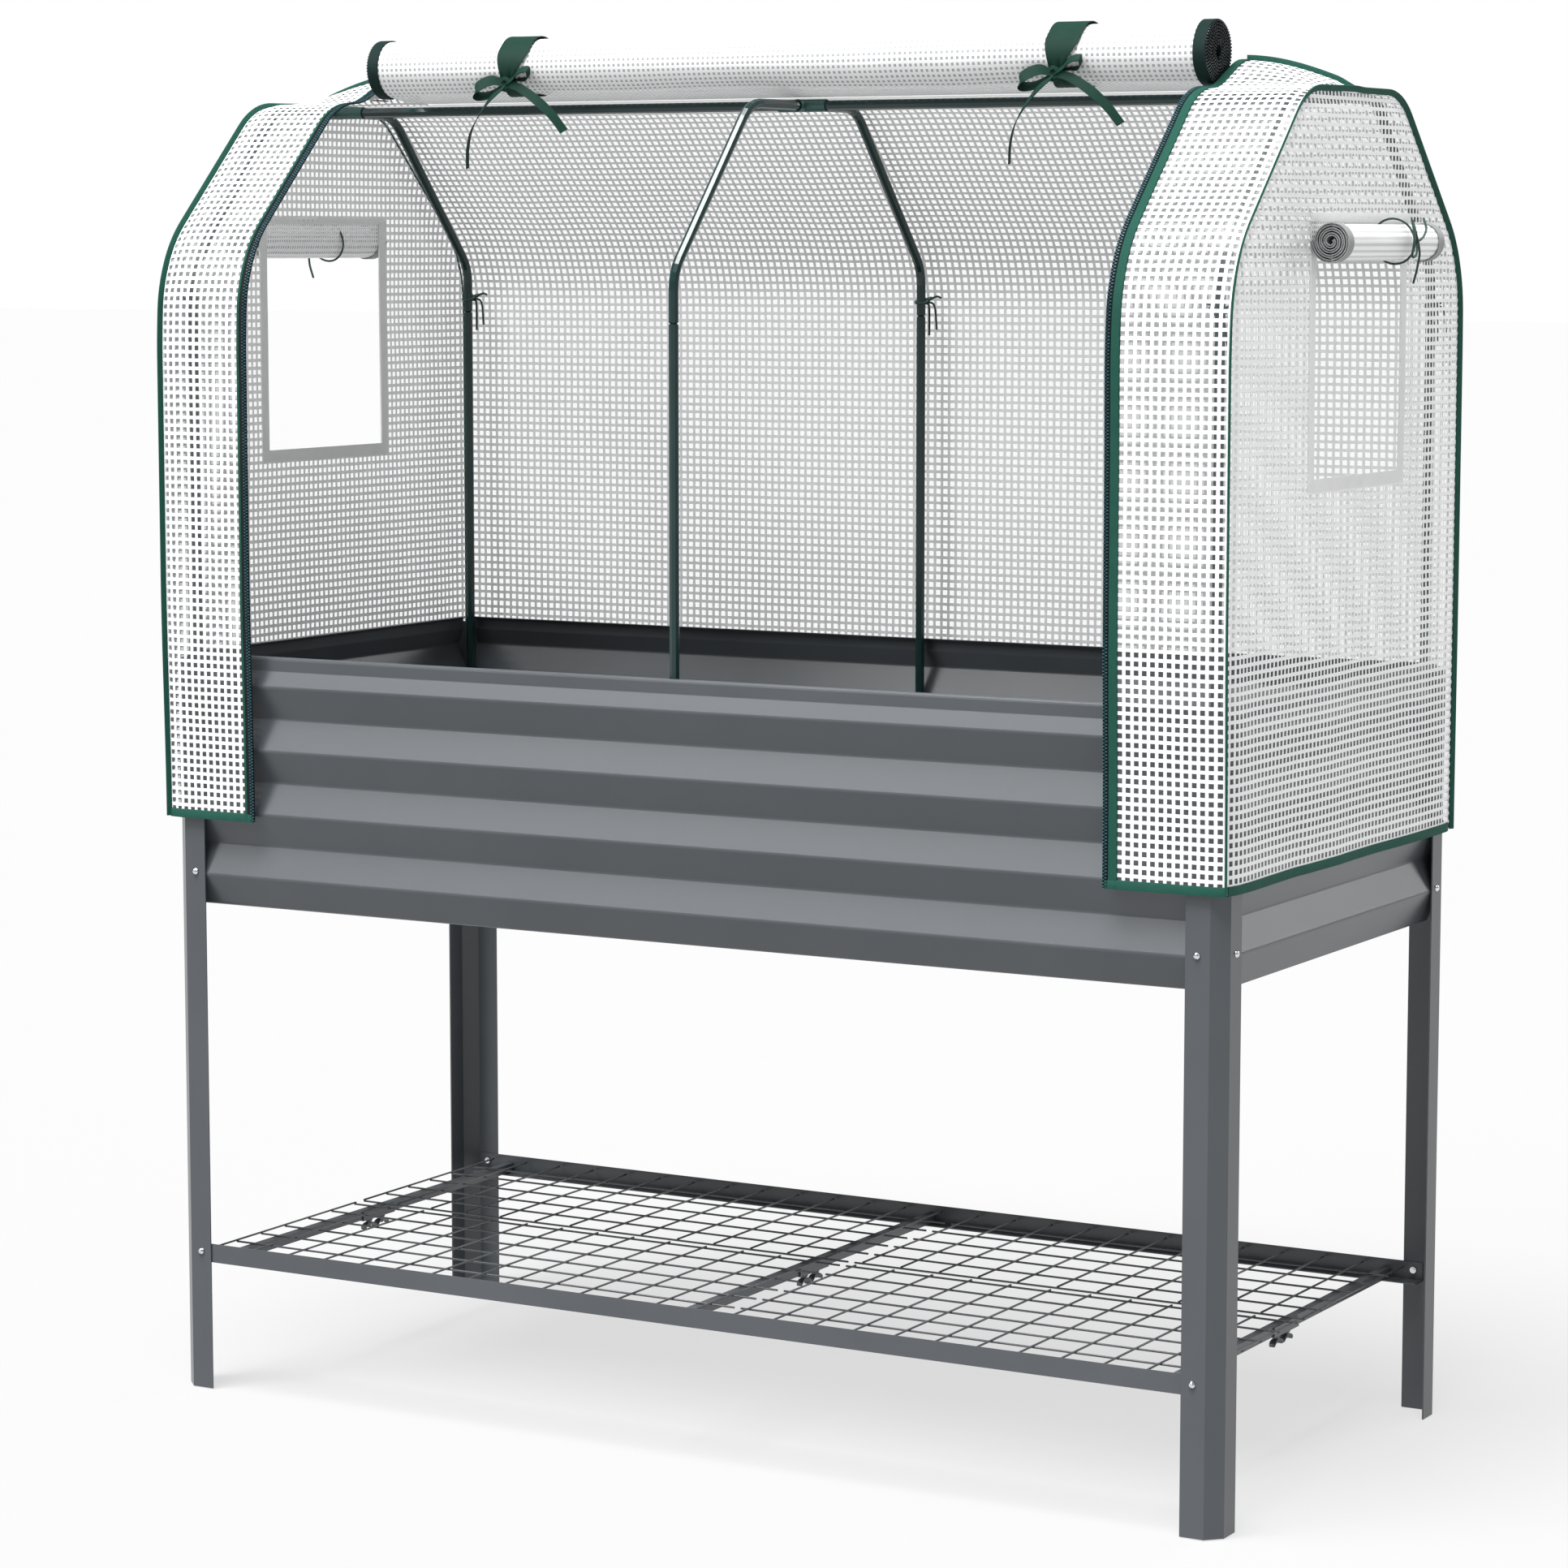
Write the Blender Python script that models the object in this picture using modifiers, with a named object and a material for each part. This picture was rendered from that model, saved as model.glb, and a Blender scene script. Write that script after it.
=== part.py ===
"""Raised planter on legs, with a wire shelf and a fabric mini greenhouse.

Metres, +Z up. +X is to the right, -Y is the front where the door opens, and the origin is on the
ground at the middle of the legs. The corrugated box is bolted to four angle legs, the shelf rests on
two rails between them, and three tube arches stand inside the box and carry the cover.
"""
import math

import bmesh
import bpy
from mathutils import Matrix, Vector

# Legs
LENGTH = 1.200
WIDTH = 0.5525
LEG_FLANGE = 0.0394
LEG_CHAMFER = 0.0148
LEG_SHEET = 0.0015
LEG_TOP = 0.7735
GAP = 0.0003

# Corrugated box
BOX_BOTTOM = 0.5164
RIM = 0.7795
BOX_SHEET = 0.0008
RIDGE_DEPTH = 0.0118
RIDGE_PITCH = 0.0665
RIDGES = 4
FIRST_CREST = 0.0310        # below the rim
RIM_BAND = 0.0142
RIM_HEM = 0.0060
CREASE_RADIUS = 0.0045
BOTTOM_FLANGE = 0.0140
FLOOR_SHEET = 0.0012
SUPPORT_HEIGHT = 0.0180
SUPPORT_WIDTH = 0.0300
SUPPORT_X = 0.300
FLOOR_HALF_LENGTH = 0.5850
FLOOR_HALF_WIDTH = 0.2600
DRAIN_RADIUS = 0.006

# Shelf
RAIL_BOTTOM = 0.1358
RAIL_SIZE = 0.0197
RAIL_SHEET = 0.0012
BAR_WIDTH = 0.0090
BAR_HEIGHT = 0.0100
BAR_SHEET = 0.0008
BAR_PLACES = {"left": -0.5425, "centre": 0.0085, "right": 0.5425}
JOINER_LENGTH = 0.060
JOINER_SHEET = 0.0010
WIRE = 0.0022
WIRE_PITCH_X = 0.0450
WIRE_PITCH_Y = 0.0434
FIRST_WIRE_X = -0.5625
LEFT_WIRES = 14
RIGHT_WIRES = 12
CROSS_WIRES = 6
FIRST_WIRE_Y = 0.0092
GRID_INNER_Y = 0.0073
GRID_OUTER_Y = 0.2700
GRID_SPLIT_X = 0.0530
GRID_SPLIT_GAP = 0.0070

# Tube frame
TUBE_RADIUS = 0.0050
TUBE_WALL = 0.0008
TUBE_SIDES_RESOLUTION = 2
POST_Y = 0.2564
ARCH_X = 0.5798
SHOULDER_Z = 1.175
RIDGE_Z = 1.3415
RIDGE_CORNER_Y = 0.109
ARCH_BEND = 0.045
JOINT_Z = 1.125
PLUG_LENGTH = 0.025
PLUG_SCALE = 0.70
SLEEVE_RADIUS = 0.0064
SLEEVE_BORE = 0.0055
SLEEVE_REACH = 0.0275
END_SLEEVE_REACH = 0.0381

# Cover
COVER_SHEET = 0.0012
COVER_HALF_LENGTH = 0.6030
COVER_HALF_WIDTH = 0.2810
COVER_HEM = 0.6090
COVER_SHOULDER_Z = 1.187
COVER_TOP = 1.3490
COVER_RIDGE_CORNER_Y = 0.115
COVER_BEND = 0.075
STRIP_INNER = {"left": -0.4917, "right": 0.4783}
WINDOW_CENTRE_Y = 0.011
WINDOW_HALF_WIDTH = 0.1057
WINDOW_BOTTOM = 0.982
WINDOW_TOP = 1.212

# Rolled door and windows
DOOR_ROLL_RADIUS = 0.030
DOOR_ROLL_ENDS = (-0.477, 0.484)
DOOR_ROLL_Y = -0.055
DOOR_ROLL_Z = 1.3845
DOOR_HINGE_Z = 1.352
RIBBON_PLACES = {"left": -0.296, "right": 0.334}
RIBBON_WIDTH = 0.042
RIBBON_SHEET = 0.0012
WINDOW_ROLL_RADIUS = 0.0195
WINDOW_ROLL_LENGTH = 0.238
WINDOW_ROLL_X = 0.6246
WINDOW_ROLL_Z = 1.205
WINDOW_HINGE_X = 0.6052
WINDOW_HINGE_Z = 1.228
ZIP_PULL_X = {"left": -0.4965, "right": 0.4905}
ZIP_PULL_LENGTH = 0.024
ZIP_PULL_WIDTH = 0.005
ZIP_PULL_SHEET = 0.0012
ZIP_HINGE_Y = -0.022
ZIP_HINGE_Z = 1.3530

# Bolts
BOLT_INSET = 0.0275
BOX_BOLT_Z = 0.5515
SHELF_BOLT_Z = 0.1472
BOLT_SHANK = 0.0020
BOLT_HOLE = 0.0024
BOLT_HEAD = 0.0037
BOLT_HEAD_HEIGHT = 0.0026
NUT_RADIUS = 0.0035
NUT_HEIGHT = 0.0026
BOX_NUT_DEPTH = 0.0054
SHELF_NUT_DEPTH = 0.0034

HALF_LENGTH = LENGTH / 2
HALF_WIDTH = WIDTH / 2
PANEL_HALF_LENGTH = HALF_LENGTH - LEG_CHAMFER - 0.0032
PANEL_HALF_WIDTH = HALF_WIDTH - LEG_CHAMFER - 0.0032
LEG_INNER = LEG_SHEET + GAP
SIDES = {"left": -1, "right": 1}
FACES = {"front": -1, "back": 1}

for old in list(bpy.data.objects):
    bpy.data.objects.remove(old)

PARTS = bpy.data.collections.new("raised_planter")
CUTTERS = bpy.data.collections.new("cutters")
bpy.context.scene.collection.children.link(PARTS)
bpy.context.scene.collection.children.link(CUTTERS)


# Materials

def material(name, colour, roughness, metallic=0.0):
    made = bpy.data.materials.new(name)
    made.use_nodes = True
    shader = made.node_tree.nodes["Principled BSDF"]
    shader.inputs["Base Color"].default_value = (*colour, 1.0)
    shader.inputs["Roughness"].default_value = roughness
    shader.inputs["Metallic"].default_value = metallic
    made.diffuse_color = (*colour, 1.0)
    return made


SLATE = material("slate_powder_coat", (0.115, 0.125, 0.135), 0.45)
DARK_STEEL = material("dark_floor_steel", (0.060, 0.065, 0.070), 0.55)
SHELF_BLACK = material("shelf_wire_coat", (0.030, 0.032, 0.035), 0.40)
TUBE_GREEN = material("dark_green_tube", (0.020, 0.060, 0.055), 0.35)
SLEEVE_GREEN = material("green_sleeve_plastic", (0.050, 0.170, 0.120), 0.45)
COVER_WHITE = material("reinforced_cover_film", (0.850, 0.860, 0.850), 0.40)
RIBBON_GREEN = material("green_ribbon", (0.045, 0.150, 0.100), 0.70)
CHROME = material("bright_bolt_steel", (0.800, 0.810, 0.820), 0.20, 1.0)
ZIP_METAL = material("dark_zip_metal", (0.050, 0.055, 0.060), 0.35, 0.8)


# Shape helpers

def place(obj, name, coat, collection=None):
    obj.name = name
    if coat:
        obj.data.materials.clear()
        obj.data.materials.append(coat)
    (collection or PARTS).objects.link(obj)
    return obj


def from_bmesh(bm, name, coat, collection=None):
    mesh = bpy.data.meshes.new(name)
    bm.to_mesh(mesh)
    bm.free()
    return place(bpy.data.objects.new(name, mesh), name, coat, collection)


def rounded(points, radius, steps):
    """The open polyline with an arc of that radius at each inner corner."""
    points = [Vector(p) for p in points]
    path = [points[0]]
    for before, corner, after in zip(points, points[1:], points[2:]):
        back = (before - corner).normalized()
        ahead = (after - corner).normalized()
        half = math.acos(max(-1.0, min(1.0, back.dot(ahead)))) / 2
        reach = min(radius / math.tan(half), 0.49 * (before - corner).length, 0.49 * (after - corner).length)
        arc_radius = reach * math.tan(half)
        centre = corner + (back + ahead).normalized() * math.hypot(reach, arc_radius)
        start = corner + back * reach - centre
        end = corner + ahead * reach - centre
        turn = start.angle(end)
        for step in range(steps + 1):
            share = step / steps
            a = math.sin((1 - share) * turn) / math.sin(turn)
            b = math.sin(share * turn) / math.sin(turn)
            path.append(centre + start * a + end * b)
    path.append(points[-1])
    return path


def swept_sheet(name, profile, along, span, thickness, coat):
    """An open profile swept straight along X, Y or Z and thickened about its middle surface."""
    low, high = span
    lay = {
        "X": lambda u, v: Vector((low, u, v)),
        "Y": lambda u, v: Vector((u, low, v)),
        "Z": lambda u, v: Vector((u, v, low)),
    }[along]
    travel = {"X": Vector((high - low, 0, 0)), "Y": Vector((0, high - low, 0)), "Z": Vector((0, 0, high - low))}
    bm = bmesh.new()
    verts = [bm.verts.new(lay(u, v)) for u, v in profile]
    edges = [bm.edges.new(pair) for pair in zip(verts, verts[1:])]
    swept = bmesh.ops.extrude_edge_only(bm, edges=edges)["geom"]
    bmesh.ops.translate(bm, verts=[g for g in swept if isinstance(g, bmesh.types.BMVert)], vec=travel[along])
    obj = from_bmesh(bm, name, coat)
    solidify = obj.modifiers.new("thickness", "SOLIDIFY")
    solidify.thickness = thickness
    solidify.offset = 0.0
    solidify.use_even_offset = True
    return obj


def flat_plate(name, outlines, thickness, matrix, coat):
    """A flat outline with holes, as a filled 2D curve extruded both ways."""
    curve = bpy.data.curves.new(name, "CURVE")
    curve.dimensions = "2D"
    curve.fill_mode = "BOTH"
    curve.extrude = thickness / 2
    for outline in outlines:
        spline = curve.splines.new("POLY")
        spline.points.add(len(outline) - 1)
        for point, (u, v) in zip(spline.points, outline):
            point.co = (u, v, 0, 1)
        spline.use_cyclic_u = True
    obj = place(bpy.data.objects.new(name, curve), name, coat)
    obj.matrix_world = matrix
    return obj


def rectangle(left, bottom, right, top):
    return [(left, bottom), (right, bottom), (right, top), (left, top)]


def circle(x, y, radius, sides):
    turns = [2 * math.pi * k / sides for k in range(sides)]
    return [(x + radius * math.cos(turn), y + radius * math.sin(turn)) for turn in turns]


def upright(x):
    """Lay a flat outline in the plane at x, its first axis along Y and its second up."""
    return Matrix(((0, 0, 1, x), (1, 0, 0, 0), (0, 1, 0, 0), (0, 0, 0, 1)))


def tube(name, path, scales, coat):
    """A hollow round tube, open at both ends. The scales narrow it where it plugs into another."""
    curve = bpy.data.curves.new(name, "CURVE")
    curve.dimensions = "3D"
    curve.bevel_depth = TUBE_RADIUS
    curve.bevel_resolution = TUBE_SIDES_RESOLUTION
    spline = curve.splines.new("POLY")
    spline.points.add(len(path) - 1)
    for point, place_at, scale in zip(spline.points, path, scales):
        point.co = (*place_at, 1)
        point.radius = scale
    guide = bpy.data.objects.new(name + "_guide", curve)
    bpy.context.scene.collection.objects.link(guide)
    evaluated = guide.evaluated_get(bpy.context.evaluated_depsgraph_get())
    mesh = bpy.data.meshes.new_from_object(evaluated)
    bpy.data.objects.remove(guide)
    mesh.shade_smooth()
    obj = place(bpy.data.objects.new(name, mesh), name, coat)
    wall = obj.modifiers.new("wall", "SOLIDIFY")
    wall.thickness = TUBE_WALL
    wall.offset = -1.0
    return obj


def cylinder(name, radius, length, along, centre, coat, sides=16, collection=None):
    turn = {"X": Matrix.Rotation(math.pi / 2, 4, "Y"), "Y": Matrix.Rotation(math.pi / 2, 4, "X"), "Z": Matrix()}
    bm = bmesh.new()
    bmesh.ops.create_cone(bm, cap_ends=True, segments=sides, radius1=radius, radius2=radius, depth=length,
                          matrix=Matrix.Translation(centre) @ turn[along])
    obj = from_bmesh(bm, name, coat, collection)
    if collection is CUTTERS:
        obj.hide_render = True
        obj.display_type = "WIRE"
    return obj


def boolean(obj, other, operation="DIFFERENCE"):
    cut = obj.modifiers.new(other.name, "BOOLEAN")
    cut.operation = operation
    cut.solver = "EXACT"
    cut.object = other


# Corrugated box

def ridge_depth_profile():
    """Depth in from the crests and height, from the folded rim down to the bottom edge."""
    points = [(RIDGE_DEPTH / 2 + RIM_HEM, RIM), (RIDGE_DEPTH / 2, RIM), (RIDGE_DEPTH / 2, RIM - RIM_BAND)]
    for ridge in range(RIDGES):
        crest = RIM - FIRST_CREST - ridge * RIDGE_PITCH
        points.append((0.0, crest))
        valley = max(crest - RIDGE_PITCH / 2, BOX_BOTTOM)
        points.append((RIDGE_DEPTH, valley))
    return points


def corrugated_panel(name, half_outer, side, along, half_span, flanged):
    points = ridge_depth_profile()
    points[0] = (points[0][0], RIM - BOX_SHEET / 2)
    points[1] = (points[1][0], RIM - BOX_SHEET / 2)
    if flanged:
        points[-1] = (RIDGE_DEPTH, BOX_BOTTOM + BOX_SHEET / 2)
        points.append((RIDGE_DEPTH + BOTTOM_FLANGE, BOX_BOTTOM + BOX_SHEET / 2))
    profile = []
    for point in rounded([(depth, z, 0) for depth, z in points], CREASE_RADIUS, 3):
        outward = half_outer - LEG_INNER - BOX_SHEET / 2 - point.x
        profile.append((side * outward, point.y))
    return swept_sheet(name, profile, along, (-half_span, half_span), BOX_SHEET, SLATE)


panels = {}
for face, side in FACES.items():
    panels[face] = corrugated_panel("panel_" + face, HALF_WIDTH, side, "X", PANEL_HALF_LENGTH, True)
for end, side in SIDES.items():
    panels[end] = corrugated_panel("panel_" + end, HALF_LENGTH, side, "Y", PANEL_HALF_WIDTH, False)

support_low = BOX_BOTTOM + BOX_SHEET + GAP
support_high = support_low + SUPPORT_HEIGHT
for end, side in SIDES.items():
    middle = side * SUPPORT_X
    half = SUPPORT_WIDTH / 2
    top = support_high - FLOOR_SHEET / 2
    channel = [(middle - half, support_low), (middle - half, top), (middle + half, top), (middle + half, support_low)]
    swept_sheet("floor_support_" + end, channel, "Y", (-FLOOR_HALF_WIDTH, FLOOR_HALF_WIDTH), FLOOR_SHEET, DARK_STEEL)

floor_level = support_high + GAP + FLOOR_SHEET / 2
FLOOR_TOP = floor_level + FLOOR_SHEET / 2
drains = [circle(x, y, DRAIN_RADIUS, 8) for x in (-0.44, -0.15, 0.15, 0.44) for y in (-0.13, 0.13)]
floor_outline = rectangle(-FLOOR_HALF_LENGTH, -FLOOR_HALF_WIDTH, FLOOR_HALF_LENGTH, FLOOR_HALF_WIDTH)
flat_plate("floor_panel", [floor_outline] + drains, FLOOR_SHEET, Matrix.Translation((0, 0, floor_level)), DARK_STEEL)


# Legs

legs = {}
for face, y_side in FACES.items():
    for end, x_side in SIDES.items():
        outer_x = HALF_LENGTH - LEG_SHEET / 2
        outer_y = HALF_WIDTH - LEG_SHEET / 2
        section = [
            (HALF_LENGTH - LEG_FLANGE, outer_y),
            (HALF_LENGTH - LEG_CHAMFER, outer_y),
            (outer_x, HALF_WIDTH - LEG_CHAMFER),
            (outer_x, HALF_WIDTH - LEG_FLANGE),
        ]
        section = [(x_side * x, y_side * y) for x, y in section]
        name = "leg_%s_%s" % (face, end)
        legs[face, end] = swept_sheet(name, section, "Z", (0.0, LEG_TOP), LEG_SHEET, SLATE)


# Shelf rails, cross bars and their joiners

rails = {}
for face, side in FACES.items():
    outer = HALF_WIDTH - LEG_INNER - RAIL_SHEET / 2
    angle = [
        (side * outer, RAIL_BOTTOM + RAIL_SIZE),
        (side * outer, RAIL_BOTTOM + RAIL_SHEET / 2),
        (side * (outer - RAIL_SIZE + RAIL_SHEET / 2), RAIL_BOTTOM + RAIL_SHEET / 2),
    ]
    span = (-PANEL_HALF_LENGTH, PANEL_HALF_LENGTH)
    rails[face] = swept_sheet("shelf_rail_" + face, angle, "X", span, RAIL_SHEET, SLATE)

bar_low = RAIL_BOTTOM + RAIL_SHEET + GAP
bar_high = bar_low + BAR_HEIGHT
bar_reach = HALF_WIDTH - LEG_INNER - RAIL_SHEET - 2 * GAP
for place_name, x in BAR_PLACES.items():
    half = (BAR_WIDTH - BAR_SHEET) / 2
    top = bar_high - BAR_SHEET / 2
    channel = [(x - half, bar_low), (x - half, top), (x + half, top), (x + half, bar_low)]
    for face, side in FACES.items():
        span = sorted((side * GAP, side * bar_reach))
        swept_sheet("shelf_bar_%s_%s" % (place_name, face), channel, "Y", span, BAR_SHEET, SLATE)
    half = BAR_WIDTH / 2 + 2 * GAP + JOINER_SHEET / 2
    bottom = bar_low - GAP - JOINER_SHEET / 2
    cradle = [(x - half, bar_high - JOINER_SHEET), (x - half, bottom), (x + half, bottom), (x + half, bar_high - JOINER_SHEET)]
    span = (-JOINER_LENGTH / 2, JOINER_LENGTH / 2)
    swept_sheet("shelf_joiner_" + place_name, cradle, "Y", span, JOINER_SHEET, SLATE)


# Shelf grids

def wire_grid(name, wires_x, ends_x, wires_y, ends_y, low, height):
    """Two layers of crossing wires as one lattice: a face wherever a wire runs, then thickened."""
    half = WIRE / 2
    lines_x = sorted({x + s * half for x in wires_x for s in (-1, 1)} | set(ends_x))
    lines_y = sorted({y + s * half for y in wires_y for s in (-1, 1)} | set(ends_y))
    bm = bmesh.new()
    made = {}

    def corner(i, j):
        if (i, j) not in made:
            made[i, j] = bm.verts.new((lines_x[i], lines_y[j], low))
        return made[i, j]

    for i in range(len(lines_x) - 1):
        for j in range(len(lines_y) - 1):
            x = (lines_x[i] + lines_x[i + 1]) / 2
            y = (lines_y[j] + lines_y[j + 1]) / 2
            if min(abs(x - w) for w in wires_x) < half or min(abs(y - w) for w in wires_y) < half:
                bm.faces.new((corner(i, j), corner(i + 1, j), corner(i + 1, j + 1), corner(i, j + 1)))
    raised = bmesh.ops.extrude_face_region(bm, geom=bm.faces[:], use_keep_orig=True)["geom"]
    bmesh.ops.translate(bm, verts=[g for g in raised if isinstance(g, bmesh.types.BMVert)], vec=(0, 0, height))
    bmesh.ops.recalc_face_normals(bm, faces=bm.faces[:])
    return from_bmesh(bm, name, SHELF_BLACK)


grid_low = bar_high + GAP
left_wires = [FIRST_WIRE_X + k * WIRE_PITCH_X for k in range(LEFT_WIRES)]
right_wires = [FIRST_WIRE_X + (LEFT_WIRES + k) * WIRE_PITCH_X for k in range(RIGHT_WIRES)]
grid_halves = {
    "left": (left_wires, (left_wires[0] - WIRE / 2, GRID_SPLIT_X - GRID_SPLIT_GAP / 2)),
    "right": (right_wires, (GRID_SPLIT_X + GRID_SPLIT_GAP / 2, right_wires[-1] + WIRE / 2)),
}
for end, (wires_x, ends_x) in grid_halves.items():
    for face, side in FACES.items():
        wires_y = sorted(side * (FIRST_WIRE_Y + k * WIRE_PITCH_Y) for k in range(CROSS_WIRES))
        ends_y = sorted((side * GRID_INNER_Y, side * GRID_OUTER_Y))
        wire_grid("shelf_grid_%s_%s" % (end, face), wires_x, ends_x, wires_y, ends_y, grid_low, 2 * WIRE - 2 * GAP)


# Arches, posts, ridge beams and their connectors

arch_places = {"left": -ARCH_X, "centre": 0.0, "right": ARCH_X}
for place_name, x in arch_places.items():
    corners = [
        (x, -POST_Y, JOINT_Z + 0.002), (x, -POST_Y, SHOULDER_Z), (x, -RIDGE_CORNER_Y, RIDGE_Z),
        (x, RIDGE_CORNER_Y, RIDGE_Z), (x, POST_Y, SHOULDER_Z), (x, POST_Y, JOINT_Z + 0.002),
    ]
    bent = rounded(corners, ARCH_BEND, 4)
    plugs = {side: [Vector((x, side * POST_Y, JOINT_Z + rise)) for rise in (-PLUG_LENGTH, GAP)] for side in (-1, 1)}
    path = plugs[-1] + bent + plugs[1][::-1]
    scales = [PLUG_SCALE] * 2 + [1.0] * len(bent) + [PLUG_SCALE] * 2
    tube("arch_top_" + place_name, path, scales, TUBE_GREEN)
    for face, side in FACES.items():
        post = [(x, side * POST_Y, FLOOR_TOP + GAP), (x, side * POST_Y, JOINT_Z)]
        tube("post_%s_%s" % (face, place_name), post, (1.0, 1.0), TUBE_GREEN)

beam_start = TUBE_RADIUS + 2 * GAP
for end, side in SIDES.items():
    beam = [(side * beam_start, 0, RIDGE_Z), (side * (ARCH_X - beam_start), 0, RIDGE_Z)]
    tube("ridge_beam_" + end, beam, (1.0, 1.0), TUBE_GREEN)

reaches = {"left": (-SLEEVE_RADIUS, END_SLEEVE_REACH), "centre": (-SLEEVE_REACH, SLEEVE_REACH),
           "right": (-END_SLEEVE_REACH, SLEEVE_RADIUS)}
bores = {"left": (-0.0013, 0.06), "centre": (-0.06, 0.06), "right": (-0.06, 0.0013)}
for place_name, x in arch_places.items():
    low, high = (x + reach for reach in reaches[place_name])
    sleeve = cylinder("ridge_connector_" + place_name, SLEEVE_RADIUS, high - low, "X",
                      ((low + high) / 2, 0, RIDGE_Z), SLEEVE_GREEN, 12)
    saddle = cylinder("saddle_" + place_name, SLEEVE_RADIUS, 0.026, "Y", (x, 0, RIDGE_Z), None, 12, CUTTERS)
    boolean(sleeve, saddle, "UNION")
    arch_bore = cylinder("arch_bore_" + place_name, SLEEVE_BORE, 0.06, "Y", (x, 0, RIDGE_Z), None, 12, CUTTERS)
    boolean(sleeve, arch_bore)
    low, high = (x + reach for reach in bores[place_name])
    beam_bore = cylinder("beam_bore_" + place_name, SLEEVE_BORE, high - low, "X",
                         ((low + high) / 2, 0, RIDGE_Z), None, 12, CUTTERS)
    boolean(sleeve, beam_bore)


# Cover

def cover_profile(side, ridge_gap):
    corners = [
        (side * COVER_HALF_WIDTH, COVER_HEM, 0), (side * COVER_HALF_WIDTH, COVER_SHOULDER_Z, 0),
        (side * COVER_RIDGE_CORNER_Y, COVER_TOP, 0), (side * ridge_gap, COVER_TOP, 0),
    ]
    return [(p.x, p.y) for p in rounded(corners, COVER_BEND, 6)]


swept_sheet("cover_front_left", cover_profile(-1, GAP), "X", (-COVER_HALF_LENGTH, STRIP_INNER["left"]),
            COVER_SHEET, COVER_WHITE)
swept_sheet("cover_front_right", cover_profile(-1, GAP), "X", (STRIP_INNER["right"], COVER_HALF_LENGTH),
            COVER_SHEET, COVER_WHITE)
swept_sheet("cover_back", cover_profile(1, GAP), "X", (-COVER_HALF_LENGTH, COVER_HALF_LENGTH),
            COVER_SHEET, COVER_WHITE)

end_outline = cover_profile(-1, 0.01) + cover_profile(1, 0.01)[::-1]
window = rectangle(WINDOW_CENTRE_Y - WINDOW_HALF_WIDTH, WINDOW_BOTTOM,
                   WINDOW_CENTRE_Y + WINDOW_HALF_WIDTH, WINDOW_TOP)
for end, side in SIDES.items():
    level = COVER_HALF_LENGTH + GAP + COVER_SHEET / 2
    flat_plate("cover_end_" + end, [end_outline, window], COVER_SHEET, upright(side * level), COVER_WHITE)


# Rolled door with its ribbons, rolled windows and zip pulls, each on its own hinge line

def hinge(name, at, pieces):
    empty = bpy.data.objects.new(name, None)
    PARTS.objects.link(empty)
    empty.location = at
    for piece in pieces:
        piece.parent = empty
        piece.matrix_parent_inverse = Matrix.Translation(at).inverted()


roll_length = DOOR_ROLL_ENDS[1] - DOOR_ROLL_ENDS[0]
roll_centre = (sum(DOOR_ROLL_ENDS) / 2, DOOR_ROLL_Y, DOOR_ROLL_Z)
door_pieces = [cylinder("door_roll", DOOR_ROLL_RADIUS, roll_length, "X", roll_centre, COVER_WHITE, 24)]
for end, x in RIBBON_PLACES.items():
    bm = bmesh.new()
    middle = DOOR_ROLL_RADIUS + 2 * GAP + RIBBON_SHEET / 2
    bmesh.ops.create_cone(bm, cap_ends=False, segments=24, radius1=middle, radius2=middle, depth=RIBBON_WIDTH,
                          matrix=Matrix.Translation((x, DOOR_ROLL_Y, DOOR_ROLL_Z)) @ Matrix.Rotation(math.pi / 2, 4, "Y"))
    band = from_bmesh(bm, "door_ribbon_" + end, RIBBON_GREEN)
    thick = band.modifiers.new("thickness", "SOLIDIFY")
    thick.thickness = RIBBON_SHEET
    thick.offset = 0.0
    door_pieces.append(band)
hinge("door_hinge", (0, 0, DOOR_HINGE_Z), door_pieces)

for end, side in SIDES.items():
    roll = cylinder("window_roll_" + end, WINDOW_ROLL_RADIUS, WINDOW_ROLL_LENGTH, "Y",
                    (side * WINDOW_ROLL_X, WINDOW_CENTRE_Y, WINDOW_ROLL_Z), COVER_WHITE, 20)
    hinge("window_hinge_" + end, (side * WINDOW_HINGE_X, 0, WINDOW_HINGE_Z), [roll])
    x = ZIP_PULL_X[end]
    tab = rectangle(x - ZIP_PULL_WIDTH / 2, ZIP_HINGE_Y - ZIP_PULL_LENGTH, x + ZIP_PULL_WIDTH / 2, ZIP_HINGE_Y)
    pull = flat_plate("zip_pull_" + end, [tab], ZIP_PULL_SHEET, Matrix.Translation((0, 0, ZIP_HINGE_Z)), ZIP_METAL)
    hinge("zip_hinge_" + end, (x, ZIP_HINGE_Y, ZIP_HINGE_Z), [pull])


# Bolts, each with its nut run up the shank

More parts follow.
